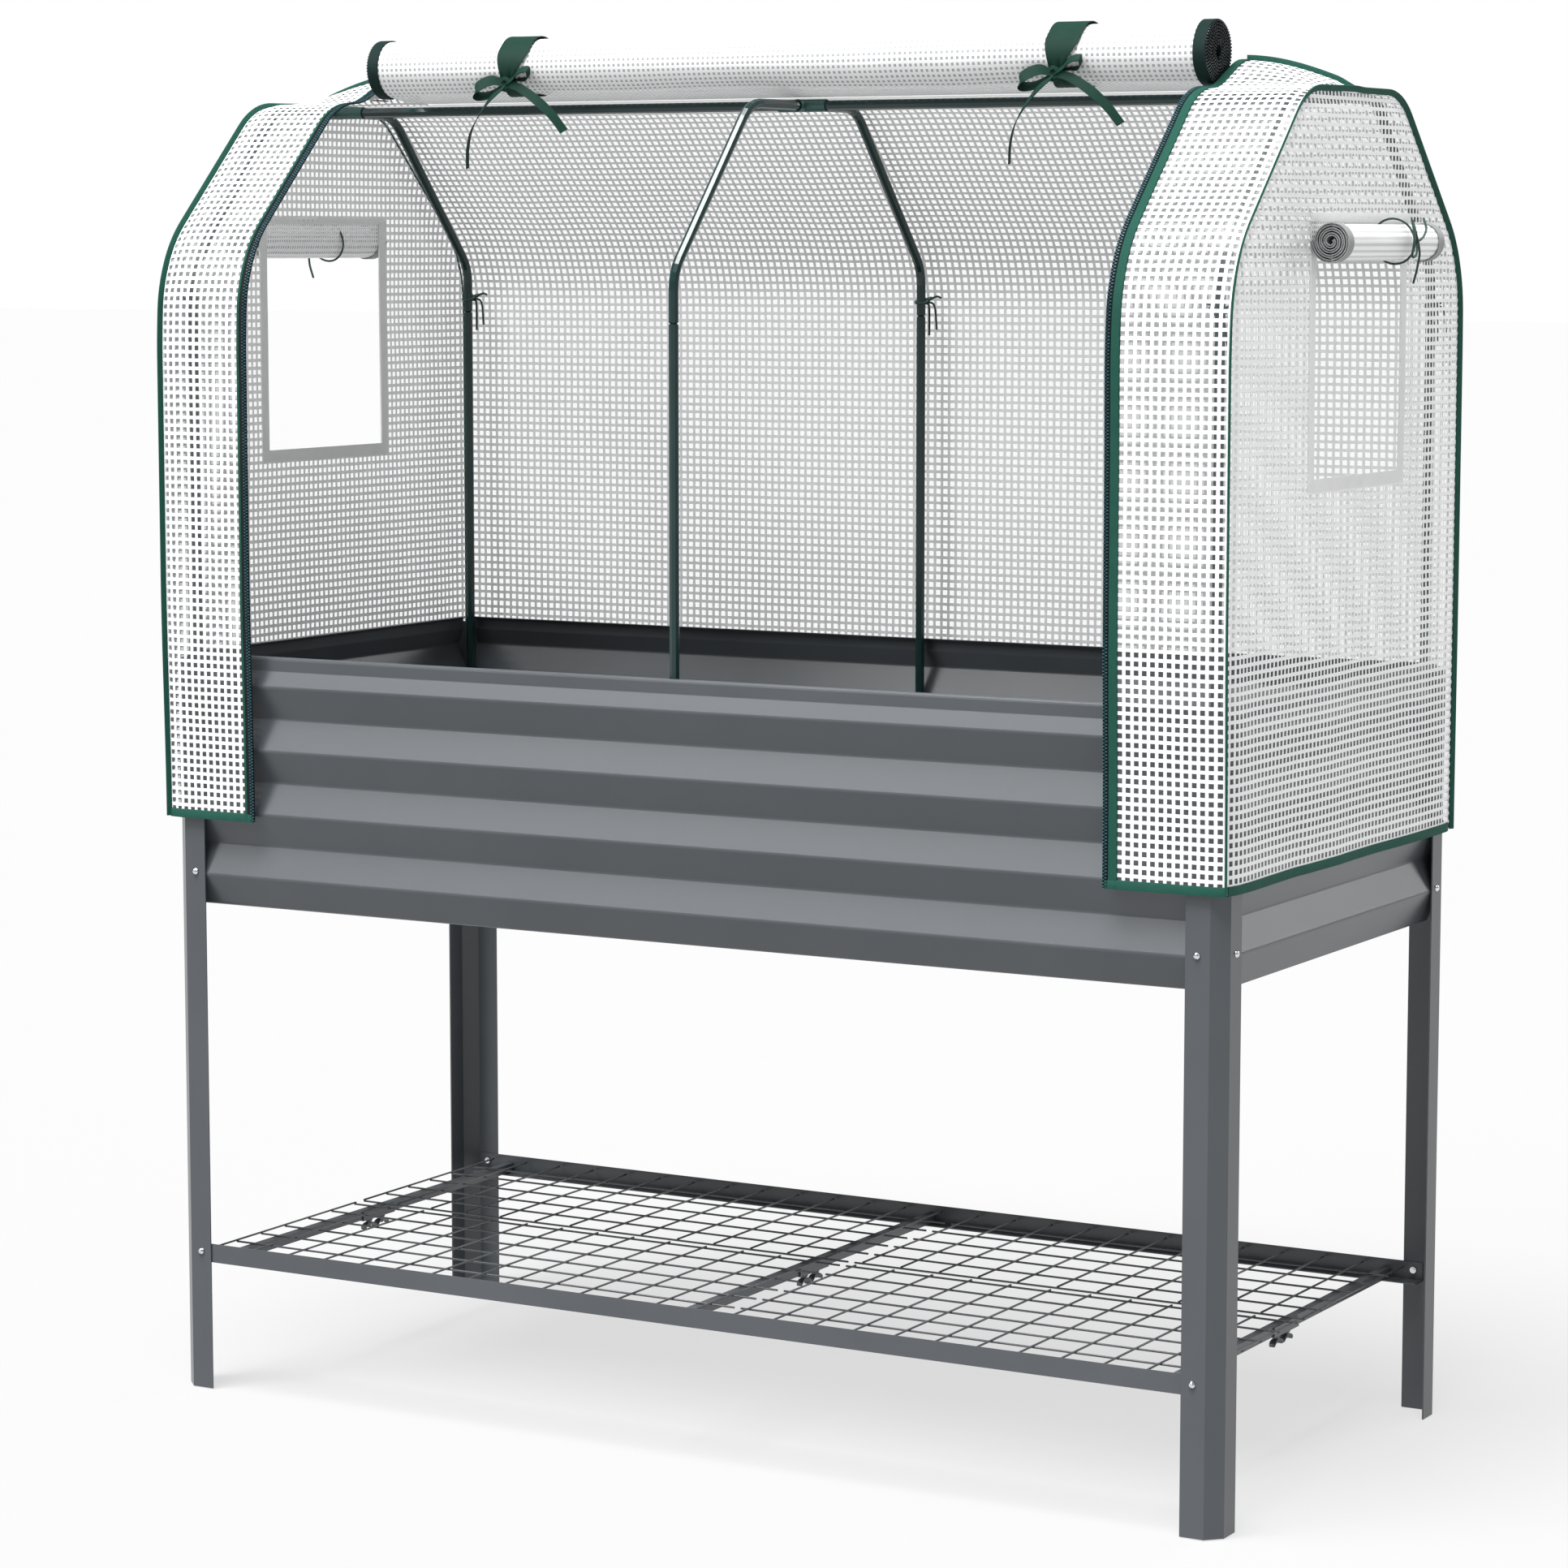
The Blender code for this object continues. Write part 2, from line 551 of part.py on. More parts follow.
def bolt(name, at, outward, nut_depth):
    """A dome head outside the leg, a shank through it and a nut inside, turned about its axis."""
    head = [(BOLT_HEAD * math.cos(a), BOLT_HEAD_HEIGHT * math.sin(a)) for a in (1.2, 0.8, 0.4, 0.0)]
    tip = -(nut_depth + NUT_HEIGHT + 0.001)
    profile = [(0.0, BOLT_HEAD_HEIGHT)] + head + [
        (BOLT_SHANK, 0.0), (BOLT_SHANK, -nut_depth), (NUT_RADIUS, -nut_depth),
        (NUT_RADIUS, -nut_depth - NUT_HEIGHT), (BOLT_SHANK, -nut_depth - NUT_HEIGHT), (BOLT_SHANK, tip), (0.0, tip),
    ]
    bm = bmesh.new()
    verts = [bm.verts.new((r, 0, z + GAP)) for r, z in profile]
    for pair in zip(verts, verts[1:]):
        bm.edges.new(pair)
    obj = from_bmesh(bm, name, CHROME)
    turn = obj.modifiers.new("turn", "SCREW")
    turn.steps = 10
    turn.render_steps = 10
    turn.use_merge_vertices = True
    turn.merge_threshold = 0.00001
    obj.matrix_world = Matrix.Translation(at) @ Vector(outward).to_track_quat("Z", "Y").to_matrix().to_4x4()
    return obj


for (face, end), leg in legs.items():
    x = SIDES[end] * (HALF_LENGTH - BOLT_INSET)
    y = FACES[face] * HALF_WIDTH
    for kind, z, depth, held in (("box", BOX_BOLT_Z, BOX_NUT_DEPTH, panels[face]),
                                 ("shelf", SHELF_BOLT_Z, SHELF_NUT_DEPTH, rails[face])):
        label = "%s_bolt_%s_%s" % (kind, face, end)
        hole = cylinder(label + "_hole", BOLT_HOLE, 0.02, "Y", (x, y, z), None, 8, CUTTERS)
        boolean(leg, hole)
        boolean(held, hole)
        bolt(label, (x, y, z), (0, FACES[face], 0), depth)
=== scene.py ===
"""Looks of the raised planter with its mini greenhouse: film, tapes, ties, wires, coats, light and camera.

Metres, +Z up, +X to the right, -Y to the front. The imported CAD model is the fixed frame, and every piece
made here takes its place from it.
"""
import math

import bpy
from mathutils import Matrix, Vector, noise


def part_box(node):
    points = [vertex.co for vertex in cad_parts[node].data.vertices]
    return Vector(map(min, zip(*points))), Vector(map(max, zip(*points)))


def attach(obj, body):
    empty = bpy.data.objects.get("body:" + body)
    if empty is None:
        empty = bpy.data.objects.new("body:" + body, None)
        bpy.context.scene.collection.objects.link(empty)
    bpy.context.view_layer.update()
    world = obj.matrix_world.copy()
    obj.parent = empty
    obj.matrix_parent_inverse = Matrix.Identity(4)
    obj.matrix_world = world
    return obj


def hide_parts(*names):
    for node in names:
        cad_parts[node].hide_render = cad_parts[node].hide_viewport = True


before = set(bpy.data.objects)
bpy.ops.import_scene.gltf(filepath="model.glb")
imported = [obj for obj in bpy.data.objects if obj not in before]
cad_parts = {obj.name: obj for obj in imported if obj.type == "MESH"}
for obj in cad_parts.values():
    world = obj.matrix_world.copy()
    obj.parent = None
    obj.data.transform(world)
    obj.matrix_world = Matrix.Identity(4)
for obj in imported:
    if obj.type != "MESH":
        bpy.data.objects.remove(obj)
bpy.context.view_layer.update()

SIDES = {"left": -1, "right": 1}
FACES = {"front": -1, "back": 1}
RIGHT = Vector((1, 0, 0))
TO_BACK = Vector((0, 1, 0))
UP = Vector((0, 0, 1))
ALL_SMOOTH = 180.0           # no crease anywhere, for film

# Cover, read from its CAD solids
SHEET = 0.0012
COVER_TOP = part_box("cover_back")[1].z - SHEET / 2
COVER_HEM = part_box("cover_back")[0].z
COVER_HALF_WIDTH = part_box("cover_back")[1].y - SHEET / 2
COVER_HALF_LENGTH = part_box("cover_end_right")[0].x
SHOULDER_DROP = 0.162        # from the top to where the wall and the slope would meet
SHOULDER_BEND = 0.125
RIDGE_CORNER_Y = 0.115
RIDGE_BEND = 0.080
STRIP_EDGE = {"left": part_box("cover_front_left")[1].x, "right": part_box("cover_front_right")[0].x}
EDGE_TUCK = 0.003            # how far the film draws in at its end seams
EDGE_ROUND = 0.020
HUMP = 0.029                 # the ridge seam lifts this far beside the rolled door
HUMP_REACH = {-1: 0.085, 1: 0.022}
HUMP_OUTER = 0.604
HUMP_INNER = (0.458, 0.490)
CREASE = 0.0022
SPACING = 0.008
ARC_STEPS = 16
GRID_PITCH = 0.0084

# Window
WINDOW_Y = 0.011
WINDOW_HALF = 0.1057
WINDOW_BOTTOM = 0.982
WINDOW_TOP = 1.226
WINDOW_HEM = 0.012

# Green binding, zips
FLANGE_HEIGHT = 0.0062
FLANGE_SHEET = 0.0020
HEM_HEIGHT = 0.0090
HEM_SHEET = 0.0026
HEM_LOW = -0.0008            # the hem's lower edge, from the film's
RIDGE_TAPE_DROP = 0.0012     # the ridge tape's lower edge, below the film
RIDGE_TAPE_HEIGHT = 0.0064
TOOTH_PITCH = 0.0034

# Rolled door
DOOR_LOW, DOOR_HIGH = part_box("door_roll")
DOOR_Y = (DOOR_LOW.y + DOOR_HIGH.y) / 2
DOOR_Z = (DOOR_LOW.z + DOOR_HIGH.z) / 2
DOOR_RADIUS = (DOOR_HIGH.z - DOOR_LOW.z) / 2
DOOR_CORE = 0.006
DOOR_TURNS = 8.0
DOOR_LIP_Z = 1.3497
ROLL_TAPE = 0.0125
RIBBON_X = {end: sum(v.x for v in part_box("door_ribbon_" + end)) / 2 for end in SIDES}
RIBBON_WIDTH = 0.036
# Share of the radius along the roll: it is fuller to the right and pinched at its middle
DOOR_SHAPE = ((-0.477, 1.000), (-0.370, 1.010), (-0.296, 0.960), (-0.180, 0.985), (-0.030, 0.925),
              (0.070, 0.990), (0.217, 1.045), (0.334, 0.985), (0.484, 1.030))

# Rolled windows
ROLL_LOW, ROLL_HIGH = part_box("window_roll_right")
ROLL_X = (ROLL_LOW.x + ROLL_HIGH.x) / 2
ROLL_Z = (ROLL_LOW.z + ROLL_HIGH.z) / 2
ROLL_RADIUS = (ROLL_HIGH.z - ROLL_LOW.z) / 2
ROLL_CORE = 0.0030
ROLL_TURNS = 3.6
FLAP_SEAM_Z = 1.228

# Tubes
ARCH_X = (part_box("arch_top_right")[0].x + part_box("arch_top_right")[1].x) / 2
POST_Y = (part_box("post_back_right")[0].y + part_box("post_back_right")[1].y) / 2
JOINT_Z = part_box("post_back_right")[1].z


# ---- materials

def new_material(name):
    made = bpy.data.materials.new(name)
    made.use_nodes = True
    tree = made.node_tree
    return made, tree, tree.nodes["Principled BSDF"]


def node(tree, kind, settings=None, **inputs):
    """A node with its settings and input values. An input given as a socket is linked."""
    made = tree.nodes.new(kind)
    for key, value in (settings or {}).items():
        setattr(made, key, value)
    for key, value in inputs.items():
        if key[0] == "i" and key[1:].isdigit():
            socket = made.inputs[int(key[1:])]
        else:
            socket = made.inputs[key.replace("_", " ")]
        if isinstance(value, bpy.types.NodeSocket):
            tree.links.new(value, socket)
        else:
            socket.default_value = value
    return made


def maths(tree, operation, first, second=0.0):
    return node(tree, "ShaderNodeMath", {"operation": operation}, i0=first, i1=second).outputs[0]


def srgb(red, green, blue):
    """A linear colour from 8-bit screen values."""
    shares = [value / 255 for value in (red, green, blue)]
    return tuple(v / 12.92 if v <= 0.04045 else ((v + 0.055) / 1.055) ** 2.4 for v in shares) + (1.0,)


def varied(name, dark, light, scale, roughness, bump_scale, bump_height, metallic=0.0, spread=0.06):
    """A coat or plastic: two close tones in soft patches, uneven gloss and a fine surface."""
    made, tree, shader = new_material(name)
    place = node(tree, "ShaderNodeTexCoord").outputs["Object"]
    patches = node(tree, "ShaderNodeTexNoise", None, Vector=place, Scale=scale, Detail=4.0, Roughness=0.55)
    tone = node(tree, "ShaderNodeValToRGB", None, Fac=patches.outputs["Fac"])
    tone.color_ramp.elements[0].position = 0.30
    tone.color_ramp.elements[0].color = dark
    tone.color_ramp.elements[1].position = 0.70
    tone.color_ramp.elements[1].color = light
    tree.links.new(tone.outputs["Color"], shader.inputs["Base Color"])
    gloss = node(tree, "ShaderNodeMapRange", None, Value=patches.outputs["Fac"], i3=roughness - spread,
                 i4=roughness + spread)
    tree.links.new(gloss.outputs["Result"], shader.inputs["Roughness"])
    grain = node(tree, "ShaderNodeTexNoise", None, Vector=place, Scale=bump_scale, Detail=3.0)
    bump = node(tree, "ShaderNodeBump", None, Height=grain.outputs["Fac"], Strength=0.35,
                Distance=bump_height)
    tree.links.new(bump.outputs["Normal"], shader.inputs["Normal"])
    shader.inputs["Metallic"].default_value = metallic
    return made


def yarn_mask(tree, pitch, share, wobble):
    """1 on the film's reinforcing yarns, 0 in its clear squares, from UVs in metres."""
    uv = node(tree, "ShaderNodeTexCoord").outputs["UV"]
    drift = node(tree, "ShaderNodeTexNoise", None, Vector=uv, Scale=22.0, Detail=2.0)
    shifted = node(tree, "ShaderNodeVectorMath", {"operation": "MULTIPLY_ADD"}, i0=drift.outputs["Color"],
                   i1=(wobble, wobble, 0.0), i2=uv)
    parts = node(tree, "ShaderNodeSeparateXYZ", None, Vector=shifted.outputs[0])
    lines = []
    for axis in ("X", "Y"):
        phase = maths(tree, "FRACT", maths(tree, "DIVIDE", parts.outputs[axis], pitch))
        from_middle = maths(tree, "ABSOLUTE", maths(tree, "SUBTRACT", phase, 0.5))
        lines.append(maths(tree, "LESS_THAN", from_middle, share / 2))
    return maths(tree, "MAXIMUM", lines[0], lines[1])


def film(name, yarn, clear, clear_alpha, share=0.46, pitch=GRID_PITCH):
    """Clear film laid over a square net of flat white yarns."""
    made, tree, shader = new_material(name)
    mask = yarn_mask(tree, pitch, share, 0.0007)
    uv = node(tree, "ShaderNodeTexCoord").outputs["UV"]
    cloud = node(tree, "ShaderNodeTexNoise", None, Vector=uv, Scale=9.0, Detail=5.0)
    haze = node(tree, "ShaderNodeMapRange", None, Value=cloud.outputs["Fac"], i3=clear_alpha * 0.7,
                i4=clear_alpha * 1.3)
    alpha = node(tree, "ShaderNodeMix", {"data_type": "FLOAT"}, i0=mask, i2=haze.outputs["Result"], i3=0.97)
    colour = node(tree, "ShaderNodeMix", {"data_type": "RGBA"}, i0=mask, i6=clear, i7=yarn)
    weave = node(tree, "ShaderNodeTexNoise", None, Vector=uv, Scale=1400.0, Detail=1.0)
    height = maths(tree, "ADD", mask, maths(tree, "MULTIPLY", weave.outputs["Fac"], 0.25))
    bump = node(tree, "ShaderNodeBump", None, Height=height, Strength=0.5, Distance=0.0003)
    tree.links.new(colour.outputs[2], shader.inputs["Base Color"])
    tree.links.new(alpha.outputs[0], shader.inputs["Alpha"])
    tree.links.new(bump.outputs["Normal"], shader.inputs["Normal"])
    gloss = node(tree, "ShaderNodeMapRange", None, Value=mask, i3=0.22, i4=0.50)
    tree.links.new(gloss.outputs["Result"], shader.inputs["Roughness"])
    return made


def tape(name, dark, light, rib, roughness=0.75, sheen=0.3):
    """Woven tape: fine ribs across it and soft patches of tone."""
    made, tree, shader = new_material(name)
    place = node(tree, "ShaderNodeTexCoord").outputs["Object"]
    ribs = node(tree, "ShaderNodeTexWave", {"wave_type": "BANDS", "bands_direction": "DIAGONAL"},
                Vector=place, Scale=rib, Distortion=1.5, Detail=2.0)
    patches = node(tree, "ShaderNodeTexNoise", None, Vector=place, Scale=60.0, Detail=3.0)
    blend = maths(tree, "ADD", maths(tree, "MULTIPLY", ribs.outputs["Fac"], 0.45),
                  maths(tree, "MULTIPLY", patches.outputs["Fac"], 0.55))
    tone = node(tree, "ShaderNodeMix", {"data_type": "RGBA"}, i0=blend, i6=dark, i7=light)
    tree.links.new(tone.outputs[2], shader.inputs["Base Color"])
    bump = node(tree, "ShaderNodeBump", None, Height=ribs.outputs["Fac"], Strength=0.5, Distance=0.0002)
    tree.links.new(bump.outputs["Normal"], shader.inputs["Normal"])
    shader.inputs["Roughness"].default_value = roughness
    shader.inputs["Sheen Weight"].default_value = sheen
    shader.inputs["Specular IOR Level"].default_value = 0.2
    return made


SLATE = varied("slate_powder_coat", srgb(69, 73, 77), srgb(75, 79, 83), 6.0, 0.31, 900.0, 0.00010)
DARK_STEEL = varied("dark_floor_steel", srgb(58, 61, 64), srgb(68, 71, 74), 9.0, 0.55, 700.0, 0.00012)
WIRE_COAT = varied("wire_coat", srgb(58, 61, 64), srgb(72, 75, 78), 30.0, 0.42, 1200.0, 0.00008)
TUBE_GREEN = varied("dark_green_tube_coat", srgb(16, 40, 40), srgb(24, 50, 49), 14.0, 0.24, 800.0, 0.00006)
SLEEVE_GREEN = varied("green_sleeve_plastic", srgb(44, 78, 74), srgb(54, 90, 84), 40.0, 0.42, 600.0, 0.00010)
CHROME = varied("bright_bolt_steel", srgb(205, 208, 212), srgb(228, 230, 233), 90.0, 0.16, 2000.0, 0.00003,
                metallic=1.0, spread=0.05)
ZIP_METAL = varied("dark_zip_metal", srgb(30, 33, 36), srgb(58, 62, 66), 120.0, 0.34, 1500.0, 0.00004,
                   metallic=0.7)
TOOTH_PLASTIC = varied("zip_tooth_plastic", srgb(30, 66, 76), srgb(50, 92, 102), 200.0, 0.35, 900.0, 0.00005)
FILM = film("reinforced_film", srgb(232, 233, 233), srgb(205, 208, 210), 0.08, 0.38)
# Painted shade: the front strips' clear squares are painted dark grey and made far less clear. This stands in
# for the shaded inside of the cover, and the plants behind, seen through them.
FRONT_FILM_PAINTED_SHADE = film("reinforced_front_film_painted_shade", srgb(232, 233, 233), srgb(95, 98, 101), 0.42, 0.42)
DOOR_FILM = film("reinforced_door_film", srgb(240, 241, 241), srgb(186, 189, 191), 0.70, 0.52, 0.0058)
END_FILM = film("reinforced_end_film", srgb(234, 235, 235), srgb(190, 193, 195), 0.10, 0.42)
FLAP_FILM = film("reinforced_flap_film", srgb(240, 241, 241), srgb(150, 153, 155), 0.75, 0.55, 0.0042)
FLAP_HEM = tape("grey_flap_hem", srgb(120, 122, 123), srgb(160, 162, 162), 900.0, 0.6, 0.1)
HEM_WHITE = tape("white_hem_tape", srgb(214, 215, 214), srgb(234, 235, 234), 900.0, 0.6, 0.1)
GREEN_TAPE = tape("green_binding_tape", srgb(15, 62, 51), srgb(27, 82, 69), 1100.0, 0.75, 0.0)
RIBBON = tape("green_ribbon_weave", srgb(8, 42, 32), srgb(14, 56, 44), 1500.0, 0.66, 0.0)
ZIP_TAPE = tape("black_zip_tape", srgb(4, 10, 12), srgb(10, 20, 22), 1300.0, 0.7, 0.0)
ROLL_EDGE_TAPE = tape("dark_roll_edge_tape", srgb(2, 26, 24), srgb(8, 42, 38), 1300.0, 0.7, 0.0)
CORD_GREEN = tape("green_tie_string", srgb(16, 46, 38), srgb(34, 74, 60), 1800.0, 0.7, 0.3)


# ---- mesh helpers

def piece(name, verts, faces, coat, body, uvs=None, sharp=40.0):
    mesh = bpy.data.meshes.new(name)
    mesh.from_pydata([tuple(v) for v in verts], [], faces)
    mesh.validate()
    if uvs:
        layer = mesh.uv_layers.new(name="film")
        for loop in mesh.loops:
            layer.data[loop.index].uv = uvs[loop.vertex_index]
    mesh.shade_smooth()
    mesh.set_sharp_from_angle(angle=math.radians(sharp))
    mesh.materials.append(coat)
    obj = bpy.data.objects.new(name, mesh)
    bpy.context.scene.collection.objects.link(obj)
    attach(obj, body)
    return obj


class Build:
    """Collects the parts of one piece."""

    def __init__(self):
        self.verts = []
        self.faces = []

    def add(self, verts, faces):
        start = len(self.verts)
        self.verts.extend(Vector(v) for v in verts)
        self.faces.extend(tuple(start + i for i in face) for face in faces)

    def made(self, name, coat, body, slot, sharp=40.0):
        return piece(name, self.verts, self.faces, coat, body, None, sharp)


def smooth(share):
    share = max(0.0, min(1.0, share))
    return share * share * (3 - 2 * share)


def between(low, high, spacing):
    """Evenly spaced values from low to high, both included."""
    steps = max(1, round(abs(high - low) / spacing))
    return [low + (high - low) * step / steps for step in range(steps + 1)]


def through(points, steps):
    """A smooth curve through the points."""
    points = [Vector(p) for p in points]
    ends = [points[0] * 2 - points[1]] + points + [points[-1] * 2 - points[-2]]
    line = []
    for before, a, b, after in zip(ends, ends[1:], ends[2:], ends[3:]):
        for step in range(steps):
            t = step / steps
            line.append(0.5 * (2 * a + (b - before) * t + (2 * before - 5 * a + 4 * b - after) * t * t
                               + (3 * a - 3 * b + after - before) * t ** 3))
    line.append(points[-1])
    return line


def carried(build, path, axes, outline, closed=False, scales=None):
    """Adds an outline carried along a path. axes gives the outline's two directions at each point."""
    count = len(outline)
    verts = []
    for index, (point, (first, second)) in enumerate(zip(path, axes)):
        grow = scales[index] if scales else 1.0
        verts.extend(Vector(point) + Vector(first) * (u * grow) + Vector(second) * (v * grow)
                     for u, v in outline)
    rings = len(path)
    faces = []
    for ring in range(rings if closed else rings - 1):
        low = ring * count
        high = ((ring + 1) % rings) * count
        for k in range(count):
            other = (k + 1) % count
            faces.append((low + k, low + other, high + other, high + k))
    if not closed:
        faces.append(tuple(range(count))[::-1])
        faces.append(tuple((rings - 1) * count + k for k in range(count)))
    build.add(verts, faces)


def angles(count):
    """Angles at even steps round a full turn."""
    return [2 * math.pi * k / count for k in range(count)]


def grid_corners(columns, rows):
    """The first vertex of each face, on a grid of columns of so many rows of vertices."""
    return [i * rows + j for i in range(columns - 1) for j in range(rows - 1)]


def ring_outline(radius, sides):
    return [(radius * math.cos(turn), radius * math.sin(turn)) for turn in angles(sides)]


def bar_outline(width, height, low=0.0):
    """A bar's section, standing on its first axis, with its top edges rounded."""
    half = width / 2
    top = low + height
    return [(-half, low), (half, low), (half, top - half * 0.8), (half * 0.6, top - half * 0.15),
            (-half * 0.6, top - half * 0.15), (-half, top - half * 0.8)]


def tangents(path, closed=False):
    found = []
    count = len(path)
    for k in range(count):
        before = path[(k - 1) % count] if closed else path[max(k - 1, 0)]
        after = path[(k + 1) % count] if closed else path[min(k + 1, count - 1)]
        found.append((Vector(after) - Vector(before)).normalized())
    return found


def tube_axes(path, closed=False):
    """Two directions across the path at each point, turned as little as possible on the way."""
    axes = []
    side = None
    for along in tangents(path, closed):
        if side is None:
            side = along.orthogonal()
        side = (side - along * side.dot(along)).normalized()
        axes.append((side, along.cross(side)))
    return axes


def rod(build, path, radius, sides=8, closed=False, scales=None):
    path = [Vector(p) for p in path]
    carried(build, path, tube_axes(path, closed), ring_outline(radius, sides), closed, scales)


def block(build, centre, first, second, third, sizes, taper=1.0):
    """Adds a box whose far face along its third direction is smaller by taper."""
    centre = Vector(centre)
    verts = []
    for w, grow in ((-0.5, 1.0), (0.5, taper)):
        for u, v in ((-0.5, -0.5), (0.5, -0.5), (0.5, 0.5), (-0.5, 0.5)):
            verts.append(centre + Vector(first) * (u * sizes[0] * grow)
                         + Vector(second) * (v * sizes[1] * grow) + Vector(third) * (w * sizes[2]))
    build.add(verts, [(3, 2, 1, 0), (4, 5, 6, 7), (0, 1, 5, 4), (1, 2, 6, 5), (2, 3, 7, 6), (3, 0, 4, 7)])


def lathe(build, at, outward, profile, sides=14):
    """Adds a turned shape. The profile is (radius, height) from the outer tip to the base."""
    outward = Vector(outward).normalized()
    side = outward.orthogonal().normalized()
    other = outward.cross(side)
    at = Vector(at)
    verts = [at + outward * profile[0][1]]
    for radius, height in profile[1:]:
        for k in range(sides):
            turn = 2 * math.pi * k / sides
            verts.append(at + outward * height + (side * math.cos(turn) + other * math.sin(turn)) * radius)
    faces = [(0, 1 + k, 1 + (k + 1) % sides) for k in range(sides)]
    for ring in range(len(profile) - 2):
        low = 1 + ring * sides
        for k in range(sides):
            turn = (k + 1) % sides
            faces.append((low + k, low + sides + k, low + sides + turn, low + turn))
    last = 1 + (len(profile) - 2) * sides
    faces.append(tuple(last + k for k in range(sides))[::-1])
    build.add(verts, faces)


def strip(build, path, across, widths, thickness):
    """Adds a flat ribbon. across is its width's direction at each point."""
    path = [Vector(p) for p in path]
    axes = []
    for along, wide in zip(tangents(path), across):
        wide = Vector(wide)
        wide = (wide - along * wide.dot(along)).normalized()
        axes.append((wide, along.cross(wide)))
    half = thickness / 2
    for k, ((first, second), width) in enumerate(zip(axes, widths)):
        axes[k] = (first * width, second)
    carried(build, path, axes, [(-0.5, -half), (0.5, -half), (0.5, half), (-0.5, half)])


# ---- cover

def cover_section():
    """Places down the back of the cover from ridge to hem: y, z, the outward normal and the distance."""
    shoulder = COVER_TOP - SHOULDER_DROP
    corners = [Vector((0, COVER_TOP)), Vector((RIDGE_CORNER_Y, COVER_TOP)),
               Vector((COVER_HALF_WIDTH, shoulder)), Vector((COVER_HALF_WIDTH, COVER_HEM))]
    line = [corners[0]]
    for before, corner, after, bend in zip(corners, corners[1:], corners[2:], (RIDGE_BEND, SHOULDER_BEND)):
        back = (before - corner).normalized()
        ahead = (after - corner).normalized()
        half = back.angle(ahead) / 2
        reach = bend / math.tan(half)
        centre = corner + (back + ahead).normalized() * (bend / math.sin(half))
        start = corner + back * reach - centre
        end = corner + ahead * reach - centre
        turn = start.angle(end)
        for step in range(ARC_STEPS + 1):
            share = step / ARC_STEPS
            swept = start * math.sin((1 - share) * turn) + end * math.sin(share * turn)
            line.append(centre + swept / math.sin(turn))
    line.append(corners[-1])
    lengths = [0.0]
    for a, b in zip(line, line[1:]):
        lengths.append(lengths[-1] + (b - a).length)
    places = []
    piece_index = 0
    for s in between(0.0, lengths[-1], SPACING):
        while piece_index < len(line) - 2 and lengths[piece_index + 1] < s:
            piece_index += 1
        a, b = line[piece_index], line[piece_index + 1]
        point = a.lerp(b, (s - lengths[piece_index]) / (b - a).length)
        places.append([point.x, point.y, 0.0, 0.0, s])
    for k, spot in enumerate(places):
        a = places[max(k - 1, 0)]
        b = places[min(k + 1, len(places) - 1)]
        run = Vector((b[0] - a[0], b[1] - a[1])).normalized()
        spot[2], spot[3] = -run.y, run.x
    return places


SECTION = cover_section()


def hump(x):
    """How far the ridge is lifted at x, beside each end of the rolled door."""
    rise = math.sin(min(1.0, max(0.0, (HUMP_OUTER - abs(x)) / 0.120)) * math.pi / 2)
    return HUMP * rise * smooth((abs(x) - HUMP_INNER[0]) / (HUMP_INNER[1] - HUMP_INNER[0]))


def creases(a, b, seed):
    """Broad soft folds with finer ones over them, as film keeps from having been folded."""
    broad = noise.noise(Vector((a * 5.0, b * 2.4, seed)))
    fine = noise.noise(Vector((a * 16.0, b * 7.0, seed + 9.0)))
    return CREASE * (broad + 0.35 * fine)


def skin(x, spot, side, out=0.0):
    """A point of the cover at x and a place down its section, on the front (-1) or back (1)."""
    y, z, ny, nz, s = spot
    tuck = EDGE_TUCK * smooth((abs(x) - (COVER_HALF_LENGTH - EDGE_ROUND)) / EDGE_ROUND)
    fall = smooth(1.0 - y / HUMP_REACH[side])
    wall = smooth((COVER_TOP - SHOULDER_DROP - z) / 0.10) * smooth((z - COVER_HEM) / 0.25)
    bulge = 0.004 * wall if side < 0 else 0.0015 * wall
    loose = (1 - smooth((abs(x) - 0.56) / 0.04)) * smooth(s / 0.18)
    away = out - tuck + bulge + creases(x, side * s, 3.0) * loose
    return Vector((x, side * (y + ny * away), z + nz * away + hump(x) * fall))


def cover_sheet(name, low, high, side, coat):
    xs = between(low, high, SPACING)
    verts = []
    uvs = []
    for x in xs:
        for spot in SECTION:
            verts.append(skin(x, spot, side))
            uvs.append((x, side * spot[4]))
    rows = len(SECTION)
    faces = []
    for k in grid_corners(len(xs), rows):
        face = (k, k + 1, k + rows + 1, k + rows)
        faces.append(face if side < 0 else face[::-1])
    return piece(name, verts, faces, coat, "stand", uvs, ALL_SMOOTH)


SEAM_X = COVER_HALF_LENGTH - 0.002
for end, side in SIDES.items():
    low, high = sorted((side * SEAM_X, STRIP_EDGE[end]))
    # The front strips take the film whose clear squares carry painted shade.
    made = cover_sheet("film_front_" + end, low, high, -1, FRONT_FILM_PAINTED_SHADE)
    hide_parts("cover_front_" + end)
back_sheet = cover_sheet("film_back", -SEAM_X, SEAM_X, 1, FILM)
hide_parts("cover_back")


def outline_half_width(z):
    """Half of the end sheet's width at height z."""
    for a, b in zip(SECTION, SECTION[1:]):
        if b[1] <= z <= a[1] and a[1] - b[1] > 1e-9:
            return b[0] + (a[0] - b[0]) * (z - b[1]) / (a[1] - b[1])
    return SECTION[-1][0] if z < COVER_TOP - 0.01 else RIDGE_CORNER_Y


END_OUTLINE = [Vector((spot[0] - spot[2] * EDGE_TUCK, spot[1] - spot[3] * EDGE_TUCK)) for spot in SECTION]


